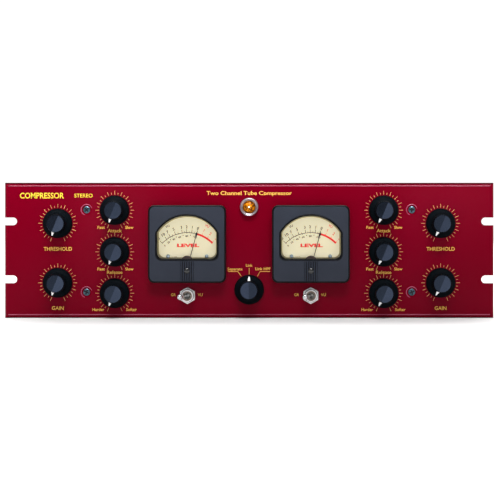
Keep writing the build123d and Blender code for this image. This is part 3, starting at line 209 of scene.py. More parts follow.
def amberJewel():  # depth by distance from the middle, dappled by cells, with a small bright spot
    look = jewelLook
    mat, tree, shader = newMaterial("amberJewel", rgb(220, 110, 6), 0.3, specular=0.1)
    link = tree.links.new
    coords = addNode(tree, "ShaderNodeTexCoord")
    centre = middle("lamp_jewel") * mm
    mapping = addNode(tree, "ShaderNodeMapping")
    mapping.inputs["Location"].default_value = (-centre.x, 0, -centre.z)
    mapping.inputs["Scale"].default_value = (1, 0, 1)
    length = addNode(tree, "ShaderNodeVectorMath", operation="LENGTH")
    spread = addNode(tree, "ShaderNodeMapRange")
    spread.inputs["From Max"].default_value = look["reach"]
    depths = addRamp(tree, look["depths"])
    cells = addNode(tree, "ShaderNodeTexVoronoi", Scale=look["cell"], Randomness=0.8)
    cellTone = addRamp(tree, look["cells"])
    dapple = addNode(tree, "ShaderNodeMix", data_type="RGBA", blend_type="MULTIPLY", factor_mode="UNIFORM")
    dapple.inputs["Factor"].default_value = 0.9
    spot = addNode(tree, "ShaderNodeMapRange", interpolation_type="SMOOTHSTEP")
    spot.inputs["From Min"].default_value, spot.inputs["From Max"].default_value = look["spot"]
    glow = addNode(tree, "ShaderNodeMix", data_type="RGBA", blend_type="MIX")
    colorSockets(glow.inputs)[1].default_value = look["spotColor"]
    link(coords.outputs["Object"], mapping.inputs["Vector"])
    link(mapping.outputs["Vector"], length.inputs[0])
    link(length.outputs["Value"], spread.inputs["Value"])
    link(spread.outputs["Result"], depths.inputs["Fac"])
    link(coords.outputs["Object"], cells.inputs["Vector"])
    link(cells.outputs["Color"], cellTone.inputs["Fac"])
    link(depths.outputs["Color"], colorSockets(dapple.inputs)[0])
    link(cellTone.outputs["Color"], colorSockets(dapple.inputs)[1])
    link(length.outputs["Value"], spot.inputs["Value"])
    link(spot.outputs["Result"], glow.inputs[0])
    link(colorSockets(dapple.outputs)[0], colorSockets(glow.inputs)[0])
    lit = colorSockets(glow.outputs)[0]
    link(lit, shader.inputs["Base Color"])
    link(lit, shader.inputs["Emission Color"])
    shader.inputs["Emission Strength"].default_value = look["glow"]
    return mat


def capAnodised():  # one tone for each half of the cap: a painted lit half and a painted shaded half
    mat, tree, shader = newMaterial("capAnodised", rgb(44, 52, 66), 0.22, metallic=1.0)
    coords = addNode(tree, "ShaderNodeTexCoord")
    parts = addNode(tree, "ShaderNodeSeparateXYZ")
    # painted shade and painted light: the darker tone shades one half of the cap, the lighter tone lights the
    # other
    halves = addRamp(tree, [(0, rgb(43, 50, 63)), (0.5, rgb(54, 62, 78))])
    halves.color_ramp.interpolation = "CONSTANT"
    tree.links.new(coords.outputs["UV"], parts.inputs["Vector"])
    tree.links.new(parts.outputs["X"], halves.inputs["Fac"])
    tree.links.new(halves.outputs["Color"], shader.inputs["Base Color"])
    return mat


paint = enamel()
# lighter enamel that paints highlights on the panel's edges and screw recesses, and darker enamel that paints
# shade
highlightPaint = plastic("rolledEnamel", rgb(158, 62, 92), 0.3, bump=0.02, specular=0.4)
shadePaint = plastic("shadedEnamel", rgb(66, 0, 13), 0.3, bump=0.02, specular=0.05)
caseCoat = powderCoat()
gold = plastic("goldInk", rgb(234, 186, 84), 0.5, bump=0.02, specular=0.1, lift=1.05)
tickGold = plastic("tickInk", rgb(226, 164, 100), 0.5, bump=0.02, specular=0.1, lift=1.05)
brightGold = plastic("yellowInk", rgb(226, 200, 60), 0.5, bump=0.02, specular=0.1, lift=1.05)
chrome = metal("chrome", (0.72, 0.72, 0.74, 1), 0.12, spread=0.04)
nickel = metal("nickel", (0.55, 0.54, 0.51, 1), 0.28)
dieCast = metal("dieCastNickel", (0.27, 0.27, 0.26, 1), 0.42, grain=120, spread=0.03)
zinc = metal("zincPlate", (0.5, 0.5, 0.47, 1), 0.38, grain=60)
blued = metal("bluedSteel", (0.085, 0.14, 0.18, 1), 0.34)
blackScrewAndCrossShade = metal("blackOxide", (0.03, 0.03, 0.034, 1), 0.45)
blueSteel = metal("dialScrewSteel", (0.62, 0.78, 0.92, 1), 0.34)
brass = metal("turnedBrass", (0.7, 0.5, 0.2, 1), 0.3)
brightNickel = metal("brightNickel", (0.86, 0.86, 0.87, 1), 0.42, spread=0.04)
bronze = metal("bronze", (0.2, 0.15, 0.12, 1), 0.4)
steel = metal("plainSteel", (0.45, 0.45, 0.46, 1), 0.35)
rubber = plastic("footRubber", rgb(24, 24, 25), 0.75, bump=0.3)
knobBlack = plastic("knobBlack", rgb(6, 11, 15), 0.58, specular=0.03)
capGrey = capAnodised()
pointerWhite = plastic("pointerWhite", rgb(235, 236, 236), 0.4, bump=0.03, lift=1.02)
# painted glow: emission brightens the white pointer, though it is no lamp
addGlow(pointerWhite, rgb(240, 242, 244), 0.25)
blackPlasticAndGapShade = plastic("mouldedBlack", rgb(20, 20, 22), 0.45)
domeBlack = plastic("domeBlack", rgb(6, 8, 12), 0.14, bump=0.02, coat=0.6)
glossBlack = plastic("glossBlack", rgb(6, 7, 9), 0.3, bump=0.02, specular=0.12)
slate = plastic("meterSlate", rgb(41, 45, 55), 0.4, specular=0.14, bump=0.08)
ribSlate = plastic("ribSlate", rgb(38, 42, 53), 0.42, specular=0.14, bump=0.08)
card = plastic("dialCard", rgb(240, 231, 196), 0.6, bump=0.03, lift=1.03)
addGlow(card, rgb(240, 231, 196), 0.44)  # painted glow: emission brightens the card behind the glass, though the card is no lamp
inkBlack = plastic("inkBlack", rgb(28, 26, 24), 0.6, bump=0.02)
inkRed = plastic("inkRed", rgb(236, 40, 38), 0.55, bump=0.02)
# painted glow: emission brightens the red print behind the glass, though it is no lamp
addGlow(inkRed, rgb(240, 40, 36), 0.4)
# darker tan for the band along the window's edge, partly painted shade of the rim
dialEdge = plastic("dialEdge", rgb(206, 192, 140), 0.55, bump=0.03)
satinChrome = metal("satinChrome", (0.46, 0.44, 0.49, 1), 0.34, spread=0.04)
needleBlack = plastic("needleBlack", rgb(12, 12, 14), 0.35, bump=0.02)
hubBrown = plastic("hubBrown", rgb(44, 28, 22), 0.35, bump=0.05)
boardGreen = plastic("solderResist", rgb(14, 72, 42), 0.35, bump=0.1)
ceramic = plastic("ceramic", rgb(225, 220, 208), 0.3, bump=0.03, lift=1.03)
sleeveBlue = plastic("sleeveBlue", rgb(28, 48, 104), 0.3, bump=0.03)
lamination = metal("lamination", (0.2, 0.18, 0.16, 1), 0.5, grain=2000, stretch=(0.05, 1, 0.05))
canGrey = plastic("canGrey", rgb(88, 92, 97), 0.35, bump=0.3, grain=300)
glass = clearGlass("meterGlass")
valveGlass = clearGlass("valveGlass", (0.9, 0.94, 0.96, 1))
jewel = amberJewel()
print("materials made")


# building helpers; every shape is drawn in millimetres

def lathe(profile, steps=64):
    bm = bmesh.new()
    ring = [bm.verts.new((r, -h, 0)) for r, h in profile]
    edges = [bm.edges.new(pair) for pair in zip(ring, ring[1:])]
    bmesh.ops.spin(bm, geom=ring + edges, cent=(0, 0, 0), axis=(0, 1, 0), dvec=(0, 0, 0),
                   angle=math.tau, steps=steps, use_merge=True, use_duplicate=False)
    bmesh.ops.remove_doubles(bm, verts=bm.verts, dist=0.0005)
    bmesh.ops.recalc_face_normals(bm, faces=bm.faces)
    return bm


def sharpEdges(bm, degrees):
    limit = math.radians(degrees)
    return [e for e in bm.edges if len(e.link_faces) == 2 and e.calc_face_angle(0) > limit]


def bevelEdges(bm, edges, width, segments=3):
    bmesh.ops.bevel(bm, geom=edges, offset=width, offset_type="OFFSET", segments=segments, profile=0.5,
                    affect="EDGES", material=-1, clamp_overlap=True)


def move(bm, place):
    bmesh.ops.transform(bm, matrix=place, verts=bm.verts)
    return bm


def copyTo(source, place):
    return move(source.copy(), place)


def turned(degrees, axis="Y"):
    return Matrix.Rotation(math.radians(degrees), 4, axis)


def onPanel(centre, forward=0.0):
    return Matrix.Translation((centre.x, faceY - forward, centre.z))


def addBlock(bm, x0, x1, y0, y1, z0, z1):
    centre = Matrix.Translation(((x0 + x1) / 2, (y0 + y1) / 2, (z0 + z1) / 2))
    size = Matrix.Diagonal((x1 - x0, y1 - y0, z1 - z0, 1))
    return bmesh.ops.create_cube(bm, size=1, matrix=centre @ size)["verts"]


def extrudeForward(bm, faces, depth):
    top = bmesh.ops.extrude_face_region(bm, geom=faces)["geom"]
    verts = [g for g in top if isinstance(g, bmesh.types.BMVert)]
    bmesh.ops.translate(bm, vec=(0, -depth, 0), verts=verts)
    return verts


def prism(outline, back, depth):  # gives its front vertices too
    bm = bmesh.new()
    foot = bm.faces.new([bm.verts.new((x, back, z)) for x, z in outline])
    front = extrudeForward(bm, [foot], depth)
    bmesh.ops.recalc_face_normals(bm, faces=bm.faces)
    return bm, front


def finishPiece(name, bm, body, mat, sharp=32, replaces=()):
    move(bm, Matrix.Scale(mm, 4))
    limit = math.radians(sharp)
    for f in bm.faces:
        f.smooth = True
    for e in bm.edges:
        e.smooth = len(e.link_faces) == 2 and e.calc_face_angle(0) < limit
    mesh = bpy.data.meshes.new(name)
    bm.to_mesh(mesh)
    bm.free()
    mesh.materials.append(mat)
    piece = bpy.data.objects.new(name, mesh)
    bpy.context.scene.collection.objects.link(piece)
    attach(piece, body)
    if replaces:
        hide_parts(*replaces)
    return piece


def weigh(piece):
    soft = piece.modifiers.new("evenShade", "WEIGHTED_NORMAL")
    soft.keep_sharp = True
    return piece


def paintNode(node, mat):
    for slot in nodes[node].material_slots:
        slot.material = mat


def combine(bmA, bmB, how):
    holders = []
    for bm in (bmA, bmB):
        mesh = bpy.data.meshes.new("holder")
        bm.to_mesh(mesh)
        bm.free()
        holder = bpy.data.objects.new("holder", mesh)
        bpy.context.scene.collection.objects.link(holder)
        holders.append(holder)
    cut = holders[0].modifiers.new("cut", "BOOLEAN")
    cut.operation, cut.object, cut.solver = how, holders[1], "EXACT"
    depsgraph = bpy.context.evaluated_depsgraph_get()
    mesh = bpy.data.meshes.new_from_object(holders[0].evaluated_get(depsgraph))
    result = bmesh.new()
    result.from_mesh(mesh)
    bpy.data.meshes.remove(mesh)
    for holder in holders:
        old = holder.data
        bpy.data.objects.remove(holder)
        bpy.data.meshes.remove(old)
    return result


# a flat outline is made solid by a 2D curve, whose own bevel rounds the edges

def outlineSpline(curve, points):
    spline = curve.splines.new("POLY")
    spline.points.add(len(points) - 1)
    for p, (x, z) in zip(spline.points, points):
        p.co = (x, z, 0, 1)
    spline.use_cyclic_u = True


def arc(cx, cz, r, start, end, count):
    steps = [math.radians(start + (end - start) * i / count) for i in range(count + 1)]
    return [(cx + r * math.cos(a), cz + r * math.sin(a)) for a in steps]


def roundedSquare(half, radius, count=12):
    inner = half - radius
    points = []
    for quarter, (sx, sz) in enumerate(((1, 1), (-1, 1), (-1, -1), (1, -1))):
        points += arc(sx * inner, sz * inner, radius, 90 * quarter, 90 * quarter + 90, count)
    return points


def meshFromCurve(curve):
    holder = bpy.data.objects.new(curve.name, curve)
    mesh = bpy.data.meshes.new_from_object(holder)
    bpy.data.objects.remove(holder)
    bpy.data.curves.remove(curve)
    bm = bmesh.new()
    bm.from_mesh(mesh)
    bpy.data.meshes.remove(mesh)
    return bm


def plateFromOutlines(outlines, thickness, bevel, segments):
    curve = bpy.data.curves.new("plate", "CURVE")
    curve.dimensions = "2D"
    curve.fill_mode = "BOTH"
    curve.extrude = max(thickness / 2 - bevel, 0.0001)
    curve.bevel_depth = bevel
    curve.bevel_resolution = segments
    curve.offset = -bevel
    for points in outlines:
        outlineSpline(curve, points)
    bm = meshFromCurve(curve)
    bmesh.ops.remove_doubles(bm, verts=bm.verts, dist=0.001)
    bmesh.ops.recalc_face_normals(bm, faces=bm.faces)
    return move(bm, turned(90, "X"))  # the outline now stands up, its front towards -Y


# lettering

lettering = {"size": 10.0, "depth": 0.02, "fineness": 3}


def textMesh(text, bold):
    curve = bpy.data.curves.new("words", "FONT")
    curve.body = text
    curve.size = lettering["size"]
    curve.offset = bold
    curve.extrude = lettering["depth"]
    curve.resolution_u = lettering["fineness"]
    return meshFromCurve(curve)


def span(bm, axis):
    values = [v.co[axis] for v in bm.verts]
    return min(values), max(values)


def words(text, width, cap, bold, at, angle=0.0, y=0.0):
    sample = textMesh("H", bold)
    capLow, capHigh = span(sample, 1)
    sample.free()
    bm = textMesh(text, bold)
    low, high = span(bm, 0)
    move(bm, Matrix.Translation((-(low + high) / 2, -(capLow + capHigh) / 2, 0)))
    grow = cap / (capHigh - capLow)
    stretch = grow if width is None else width / (high - low)
    move(bm, Matrix.Diagonal((stretch, grow, 1, 1)))
    return move(bm, Matrix.Translation((at[0], y, at[1])) @ turned(angle) @ turned(90, "X"))


def joinInto(target, extra):
    mesh = bpy.data.meshes.new("joined")
    extra.to_mesh(mesh)
    target.from_mesh(mesh)
    bpy.data.meshes.remove(mesh)
    extra.free()


# camera, world, floor and lights; the camera is in millimetres, the floor and lights in metres

view = {"x": 35.0, "z": 45.0, "distance": 1360.0, "width": 492.7, "sensor": 36.0, "aimX": 0.8, "aimZ": 0.4,
        "clip": (0.05, 50)}
studio = {"floor": 0.86, "floorHalf": 2.4, "floorBack": 0.5, "world": 1.1,
          "tones": ((0, 0.08), (0.03, 0.08), (0.09, 0.32), (0.25, 0.34), (0.62, 1.0), (1, 1.0))}

lights = {  # place, aim, width, height, power, spread
    "keyAbove": ((0.05, -0.25, 0.38), (0.03, 0, 0.12), 0.9, 0.1, 0.82, 42),
    "besideCamera": ((-0.32, -1.5, 0.03), (-0.1, 0, 0), 0.16, 0.3, 0.42, 180),
    "besideCameraRight": ((0.38, -1.5, 0.1), (0.15, 0, 0), 0.22, 0.2, 0.38, 180),
    "stripRight": ((0.45, -1.2, 0.62), (0.15, 0, 0), 0.6, 0.2, 0.2, 180),
    "floorWash": ((0, -0.8, 1.3), (0, -0.8, -0.07), 2.0, 0.9, 6.0, 100),
    "backWash": ((0, 1.5, 1.8), (0, 1.5, 0), 3.0, 2.0, 80, 180),
}


def makeCamera():
    data = bpy.data.cameras.new("camera")
    cam = bpy.data.objects.new("camera", data)
    bpy.context.scene.collection.objects.link(cam)
    data.sensor_width = view["sensor"]
    data.lens = view["sensor"] * view["distance"] / view["width"]
    data.shift_x = (view["aimX"] - view["x"]) / view["width"]
    data.shift_y = (view["aimZ"] - view["z"]) / view["width"]
    cam.location = (view["x"] * mm, (faceY - view["distance"]) * mm, view["z"] * mm)
    cam.rotation_euler = (math.pi / 2, 0, 0)
    data.clip_start, data.clip_end = view["clip"]
    bpy.context.scene.camera = cam


def makeWorld():  # dark in front, where the metal faces look, and white behind
    world = bpy.data.worlds.new("studio")
    bpy.context.scene.world = world
    world.use_nodes = True
    tree = world.node_tree
    back = tree.nodes["Background"]
    back.inputs["Color"].default_value = grey(1)
    coords = addNode(tree, "ShaderNodeTexCoord")
    parts = addNode(tree, "ShaderNodeSeparateXYZ")
    spread = addNode(tree, "ShaderNodeMapRange")
    spread.inputs["From Min"].default_value = -1
    tones = addRamp(tree, [(position, grey(tone)) for position, tone in studio["tones"]])
    power = addNode(tree, "ShaderNodeMath", operation="MULTIPLY")
    power.inputs[1].default_value = studio["world"]
    tree.links.new(coords.outputs["Generated"], parts.inputs["Vector"])
    tree.links.new(parts.outputs["Y"], spread.inputs["Value"])
    tree.links.new(spread.outputs["Result"], tones.inputs["Fac"])
    tree.links.new(tones.outputs["Color"], power.inputs[0])
    tree.links.new(power.outputs["Value"], back.inputs["Strength"])


def makeFloor():
    bm = bmesh.new()
    bmesh.ops.create_grid(bm, x_segments=1, y_segments=1, size=studio["floorHalf"])
    move(bm, Matrix.Translation((0, studio["floorBack"], panelLo.z * mm)))
    mesh = bpy.data.meshes.new("floor")
    bm.to_mesh(mesh)
    bm.free()
    floor = bpy.data.objects.new("floor", mesh)
    bpy.context.scene.collection.objects.link(floor)
    mesh.materials.append(newMaterial("paleFloor", grey(studio["floor"]), 0.9, specular=0.1)[0])


def makeLights():
    for name, (place, aim, width, height, power, spread) in lights.items():
        data = bpy.data.lights.new(name, "AREA")
        data.shape = "RECTANGLE"
        data.size, data.size_y = width, height
        data.energy = power
        data.spread = math.radians(spread)
        lamp = bpy.data.objects.new(name, data)
        bpy.context.scene.collection.objects.link(lamp)
        lamp.location = place
        lamp.rotation_euler = (Vector(aim) - Vector(place)).to_track_quat("-Z", "Y").to_euler()


makeCamera()
makeWorld()
makeFloor()
makeLights()
bpy.context.scene.view_settings.view_transform = "Standard"
print("camera and studio made")


# knobs

knob = {"gap": 0.8, "skirt": 14.6, "edge": 1.5, "edgeRound": 0.4, "footRound": (0.25, 0.3),
        "hollow": 10.2, "hollowFoot": 11.0, "hollowTop": 5.4,
        "slopeFoot": (13.3, 4.5), "slopeTop": (9.6, 8.4), "slopeDip": 0.245, "slopeSteps": 6,
        "grip": 9.2, "gripFoot": 9.4, "gripRun": 5.4, "gripLean": 0.1, "gripSteps": 5, "top": 16.6,
        "rim": 8.4, "flutes": 24, "fluteSteps": 8, "fluteDepth": 0.42, "flutePower": 1.6, "fluteFade": 0.9,
        "fluteMargin": 0.2, "capSeat": 15.5, "capRadius": 8.33, "capRidge": 0.32, "capBevel": 0.28,
        "shaft": 3.17, "shaftTop": 13.6, "shaftRound": 0.3, "startAngle": 157.5}
knobMark = {"inner": 8.95, "outer": 13.1, "wide": 2.9, "tip": 0.9, "crest": 0.75, "fall": 0.35, "side": 0.25,
            "sink": 0.6, "steps": 5, "bevel": 0.1}


def knobBody():
    k = knob
    gap, skirt, edge, corner = k["gap"], k["skirt"], k["edge"], k["edgeRound"]
    grip, foot, top, rim = k["grip"], k["gripFoot"], k["top"], k["rim"]
    footIn, footUp = k["footRound"]
    profile = [(k["shaft"], k["hollowTop"]), (k["hollow"], k["hollowTop"]), (k["hollowFoot"], gap),
               (skirt - footIn, gap), (skirt, gap + footUp), (skirt, gap + edge - corner),
               (skirt - corner, gap + edge), k["slopeFoot"]]
    (r0, h0), (r1, h1) = k["slopeFoot"], k["slopeTop"]
    for i in range(1, k["slopeSteps"] + 1):  # a slightly hollow slope up to the grip
        t = i / k["slopeSteps"]
        dip = k["slopeDip"] * math.sin(math.pi * t)
        profile.append((r0 + (r1 - r0) * t - dip, h0 + (h1 - h0) * t - dip))
    profile += [(grip, foot), (grip - 0.03, foot + 0.5)]
    for i in range(k["gripSteps"] + 1):
        t = i / k["gripSteps"]
        profile.append((grip - 0.05 - k["gripLean"] * t, foot + k["fluteFade"] + k["gripRun"] * t))
    profile += [(grip - 0.32, top - 0.3), (rim + 0.28, top), (rim, top - 0.15), (rim, k["capSeat"]),
                (k["shaft"], k["capSeat"]), profile[0]]
    bm = lathe(profile, k["flutes"] * k["fluteSteps"])
    for v in bm.verts:  # press the flutes into the grip
        r, h = math.hypot(v.co.x, v.co.z), -v.co.y
        if h > foot + k["fluteMargin"] and r > rim + k["fluteMargin"]:
            fade = min((h - foot) / k["fluteFade"], 1.0)
            groove = max(math.cos(math.atan2(v.co.x, v.co.z) * k["flutes"]), 0.0) ** k["flutePower"]
            shrink = 1 - k["fluteDepth"] * fade * groove / r
            v.co.x *= shrink
            v.co.z *= shrink
    return bm


def knobCap():
    k = knob
    top = k["top"] + k["capRidge"]
    bm = bmesh.new()
    bmesh.ops.create_circle(bm, cap_ends=True, radius=k["capRadius"], segments=96)
    move(bm, Matrix.Translation((0, -k["capSeat"], 0)) @ turned(90, "X"))
    topVerts = extrudeForward(bm, bm.faces[:], top - k["capSeat"])
    bmesh.ops.recalc_face_normals(bm, faces=bm.faces)
    rim = [e for e in bm.edges if all(v in topVerts for v in e.verts)]
    bevelEdges(bm, rim, k["capBevel"])
    geom = bm.verts[:] + bm.edges[:] + bm.faces[:]
    bmesh.ops.bisect_plane(bm, geom=geom, plane_co=(0, 0, 0), plane_no=(1, 0, 0), dist=0.001)
    for v in bm.verts:  # the two halves fall away from a ridge along the pointer's line
        if -v.co.y > k["capSeat"] + k["capBevel"]:
            v.co.y += k["capRidge"] * abs(v.co.x) / k["capRadius"]
    layer = bm.loops.layers.uv.new("halves")  # and each has its own tone, by its side of the middle: painted light on one side, painted shade on the other
    for f in bm.faces:
        for loop in f.loops:
            loop[layer].uv = (0.25 if f.calc_center_median().x > 0 else 0.75, 0.5)
    return bm


def knobPointer():
    m = knobMark
    (r0, h0), (r1, h1) = knob["slopeFoot"], knob["slopeTop"]
    bm = bmesh.new()
    rows = []
    for i in range(m["steps"] + 1):
        t = i / m["steps"]
        r = m["inner"] + (m["outer"] - m["inner"]) * t
        half = (m["wide"] + (m["tip"] - m["wide"]) * t) / 2
        slope = h0 + (h1 - h0) * (r0 - r) / (r0 - r1)
        crest = slope + m["crest"] - m["fall"] * t
        side, low = crest - m["side"], slope - m["sink"]
        section = ((-half, low), (-half, side), (0, crest), (half, side), (half, low))
        rows.append([bm.verts.new((x, -h, r)) for x, h in section])
    for a, b in zip(rows, rows[1:]):
        for j in range(len(a)):
            bm.faces.new((a[j - 1], a[j], b[j], b[j - 1]))
    bm.faces.new(rows[0])
    bm.faces.new(list(reversed(rows[-1])))
    bmesh.ops.recalc_face_normals(bm, faces=bm.faces)
    bevelEdges(bm, sharpEdges(bm, 40), m["bevel"], 2)
    return bm


def knobShaft(reach):
    k = knob
    radius, top, corner = k["shaft"], k["shaftTop"], k["shaftRound"]
    rounded = [(radius - corner, top), (radius, top - corner)]
    return lathe([(0, top)] + rounded + [(radius, -reach), (0, -reach)], 32)


def makeKnobs():
    body, cap, pointer = knobBody(), knobCap(), knobPointer()
    for name in knobNodes:
        label = name.replace("_knob", "")
        place = onPanel(middle(name)) @ turned(0 if label == "selector" else -knob["startAngle"])
        main = finishPiece(f"knob_body_{label}", copyTo(body, place), name, knobBlack, 50, (name,))
        weigh(main)
        finishPiece(f"knob_cap_{label}", copyTo(cap, place), name, capGrey, 1.5)
        finishPiece(f"knob_pointer_{label}", copyTo(pointer, place), name, pointerWhite, 30)
        shaft = knobShaft(corners(name)[1].y - faceY)
        finishPiece(f"knob_shaft_{label}", move(shaft, place), name, steel)
    for bm in (body, cap, pointer):
        bm.free()


makeKnobs()
print("knobs made")


# the panel's lighter painted highlight line along each long edge, and a dark strip of painted shade along its
# top

border = {"inset": 4.0, "beadUp": 3.4, "beadRound": 0.42, "beadDown": 3.2, "beadFine": 0.3,
          "shadeInset": 1.0, "shade": 1.1, "shadeTop": 0.02, "proud": 0.06, "sunk": 0.3}


def makeBorder():
    b = border
    middleX = (panelLo.x + panelHi.x) / 2
    for name, z, radius in (("bottom", panelLo.z + b["beadUp"], b["beadRound"]),
                            ("top", panelHi.z - b["beadDown"], b["beadFine"])):
        highlightLine = bmesh.new()
        bmesh.ops.create_cone(highlightLine, cap_ends=True, segments=16, radius1=radius, radius2=radius,
                              depth=panelHi.x - panelLo.x - 2 * b["inset"])
        move(highlightLine, Matrix.Translation((middleX, faceY, z)) @ turned(90))
        # a thin rod in lighter enamel: a painted highlight line on the rounded edge
        finishPiece(f"panel_highlight_line_{name}", highlightLine, "root", highlightPaint, 40)
    shade = bmesh.new()
    addBlock(shade, panelLo.x + b["shadeInset"], panelHi.x - b["shadeInset"], faceY - b["proud"],
             faceY + b["sunk"], panelHi.z - b["shade"], panelHi.z - b["shadeTop"])
    finishPiece("panel_shade_top", shade, "root", shadePaint, 40)


# printed dials round the knobs

dial = {"ticks": 29, "halfSweep": 157.5, "longTick": (15.3, 19.1), "shortTick": (15.5, 17.4), "width": 0.38,
        "ink": 0.03, "sunk": 0.01}


def makeDials():
    for name in knobNodes:
        if name.startswith("selector"):
            continue
        bm = bmesh.new()
        for i in range(dial["ticks"]):
            angle = -dial["halfSweep"] + 2 * dial["halfSweep"] * i / (dial["ticks"] - 1)
            r0, r1 = dial["shortTick"] if i % 2 else dial["longTick"]
            verts = addBlock(bm, -dial["width"] / 2, dial["width"] / 2, -dial["ink"], dial["sunk"], r0, r1)
            bmesh.ops.transform(bm, matrix=turned(angle), verts=verts)
        move(bm, onPanel(middle(name)))
        finishPiece(f"printed_dial_{name.replace('_knob', '')}", bm, "root", tickGold)


# lettering on the panel, in columns and by the toggles

outerX = abs(middle("threshold_knob_left").x)
innerX = abs(middle("attack_knob_left").x)
meterX = abs(middle("meter_case_left").x)

panelWords = {  # text, x, z, width, cap height, boldness, ink
    "maker_line": ("COMPRESSOR", -204.2, 54.0, 43.4, 5.6, 0.17, brightGold),
    "channel_word": ("STEREO", -163.3, 54.0, 18.0, 3.7, 0.09, brightGold),
    "title": ("Two Channel Tube Compressor", 0.0, 56.5, 84.0, 3.7, 0.1, gold),
    "threshold_left": ("THRESHOLD", -outerX, 1.5, 27.8, 3.5, 0.07, gold),
    "threshold_right": ("THRESHOLD", outerX, 1.5, 27.8, 3.5, 0.07, gold),
    "gain_left": ("GAIN", -outerX, -56.9, 11.6, 3.5, 0.07, gold),
    "gain_right": ("GAIN", outerX, -56.9, 11.6, 3.5, 0.07, gold),
    "separate": ("Separate", -14.0, -18.3, 14.7, 2.7, 0.07, gold),
    "link": ("Link", 0.0, -14.7, 6.4, 2.7, 0.07, gold),
    "link_filter": ("Link HPF", 13.6, -18.1, 14.8, 2.7, 0.07, gold),
}
smallBold = 0.07
columnWords = {  # text, offset from the column, z, width, cap height
    "attack": ("Attack", 0.0, 19.5, 13.8, 3.2),
    "release": ("Release", 0.0, -21.5, 15.1, 3.2),
    "attack_fast": ("Fast", -13.4, 22.7, 7.2, 2.7),
    "attack_slow": ("Slow", 14.4, 22.7, 8.0, 2.7),
    "release_fast": ("Fast", -13.4, -18.3, 7.2, 2.7),
    "release_slow": ("Slow", 14.4, -18.3, 8.0, 2.7),
    "harder": ("Harder", -16.2, -58.3, 11.5, 2.7),
    "softer": ("Softer", 16.4, -58.3, 10.3, 2.7),
}
toggleWords = {"gr": ("GR", -14.0, -43.7, 4.6, 2.7), "vu": ("VU", 12.4, -43.7, 4.8, 2.7)}


def makeLettering():
    for name, (text, x, z, width, cap, bold, ink) in panelWords.items():
        finishPiece(f"print_{name}", words(text, width, cap, bold, (x, z), y=faceY), "root", ink)
    for side, sign in sides.items():
        for columnX, table in ((innerX, columnWords), (meterX, toggleWords)):
            for name, (text, dx, z, width, cap) in table.items():
                bm = words(text, width, cap, smallBold, (sign * columnX + dx, z), y=faceY)
                finishPiece(f"print_{name}_{side}", bm, "root", gold)


# thin ruled lines from the selector's words to its knob

rule = {"width": 0.44, "lines": [((-20.9, -20.8), (-11.1, -20.8)), ((-11.1, -20.8), (-7.9, -25.3)),
                                 ((0, -17.4), (0, -23.6)), ((20.7, -20.8), (10.8, -20.8)),
                                 ((10.8, -20.8), (8.1, -25.4))]}


def makeSelectorLines():
    bm = bmesh.new()
    half = rule["width"] / 2
    for (x0, z0), (x1, z1) in rule["lines"]:
        verts = addBlock(bm, 0, math.hypot(x1 - x0, z1 - z0), -dial["ink"], dial["sunk"], -half, half)
        turn = Matrix.Rotation(-math.atan2(z1 - z0, x1 - x0), 4, "Y")
        bmesh.ops.transform(bm, matrix=Matrix.Translation((x0, faceY, z0)) @ turn, verts=verts)
    finishPiece("print_selector_lines", bm, "root", gold)


makeBorder()
makeDials()
makeLettering()
makeSelectorLines()
print("panel printed")


# meters: a moulded case with a slate face, a card with a painted glow behind glass, its needle and zero
# adjuster

meter = {
    "side": 76.2, "corner": 6.0, "depth": 10.0, "edge": 1.3, "border": 1.6, "pivotZ": -23.6, "flange": 2.4,
    "halfWindow": 29.5, "windowLow": -14.7, "shoulder": 11.1, "windowTop": 27.9, "windowCorner": 6.0,
    "windowGap": 0.5, "rim": 1.25, "rimInner": -0.3, "face": 0.6, "faceGap": 0.3, "faceProud": 0.15,
    "arch": 6.0, "archTop": -11.3, "archLow": 1.2,
    "hubPlate": (3.6, 0.5, 2.4), "rimPlate": (3.6, 0.7, 1.3),  # thickness, rounding, depth below the front
    "ribHalf": 6.7, "ribs": 6, "ribTop": -17.0, "ribLow": -36.7, "ribShare": 0.66, "ribProud": 0.62,
    "ribRound": 0.34, "bedProud": 0.22,
    "card": 0.7, "cardRound": 0.05, "cardGrow": 1.9, "cardEdge": (1.6, -1.5), "edgeThick": 0.5,
    "edgeRound": 0.12, "edgeProud": 0.2, "inkProud": 0.01,
    "screwX": 19.0, "screwZ": -12.1, "screwRadius": 2.0,
}


def windowOutline(grow=0.0):
    w = meter["halfWindow"] + grow
    low, r = meter["windowLow"] - grow, meter["windowCorner"]
    rise = meter["windowTop"] + grow - meter["shoulder"]
    crown = (w * w + rise * rise) / (2 * rise)
    centreZ = meter["shoulder"] + rise - crown
    half = math.degrees(math.asin(w / crown))
    points = arc(-w + r, low + r, r, 180, 270, 10)
    points += arc(w - r, low + r, r, 270, 360, 10)
    points += arc(0, centreZ, crown, 90 - half, 90 + half, 48)
    return points


def meterCase(centre):
    depth = meter["depth"]
    outer = roundedSquare(meter["side"] / 2, meter["corner"])
    bm = plateFromOutlines([outer, windowOutline(meter["windowGap"])], depth, meter["edge"], 5)
    return move(bm, onPanel(centre, depth / 2))


def meterFace(centre):
    m = meter
    outer = roundedSquare(m["side"] / 2 - m["border"], m["corner"] - m["border"] * 0.6)
    bm = plateFromOutlines([outer, windowOutline(m["rim"] + m["faceGap"])], m["face"], m["face"] / 5, 2)
    return move(bm, onPanel(centre, m["depth"] - m["faceProud"]))


def hubCover(centre):  # the brown half disc over the needle's foot
    r, middleZ = meter["arch"], meter["archTop"] - meter["arch"]
    angle = math.degrees(math.asin((meter["windowLow"] - meter["archLow"] - middleZ) / r))
    thick, rounding, below = meter["hubPlate"]
    bm = plateFromOutlines([arc(0, middleZ, r, angle, 180 - angle, 24)], thick, rounding, 3)
    return move(bm, onPanel(centre, meter["depth"] - below))


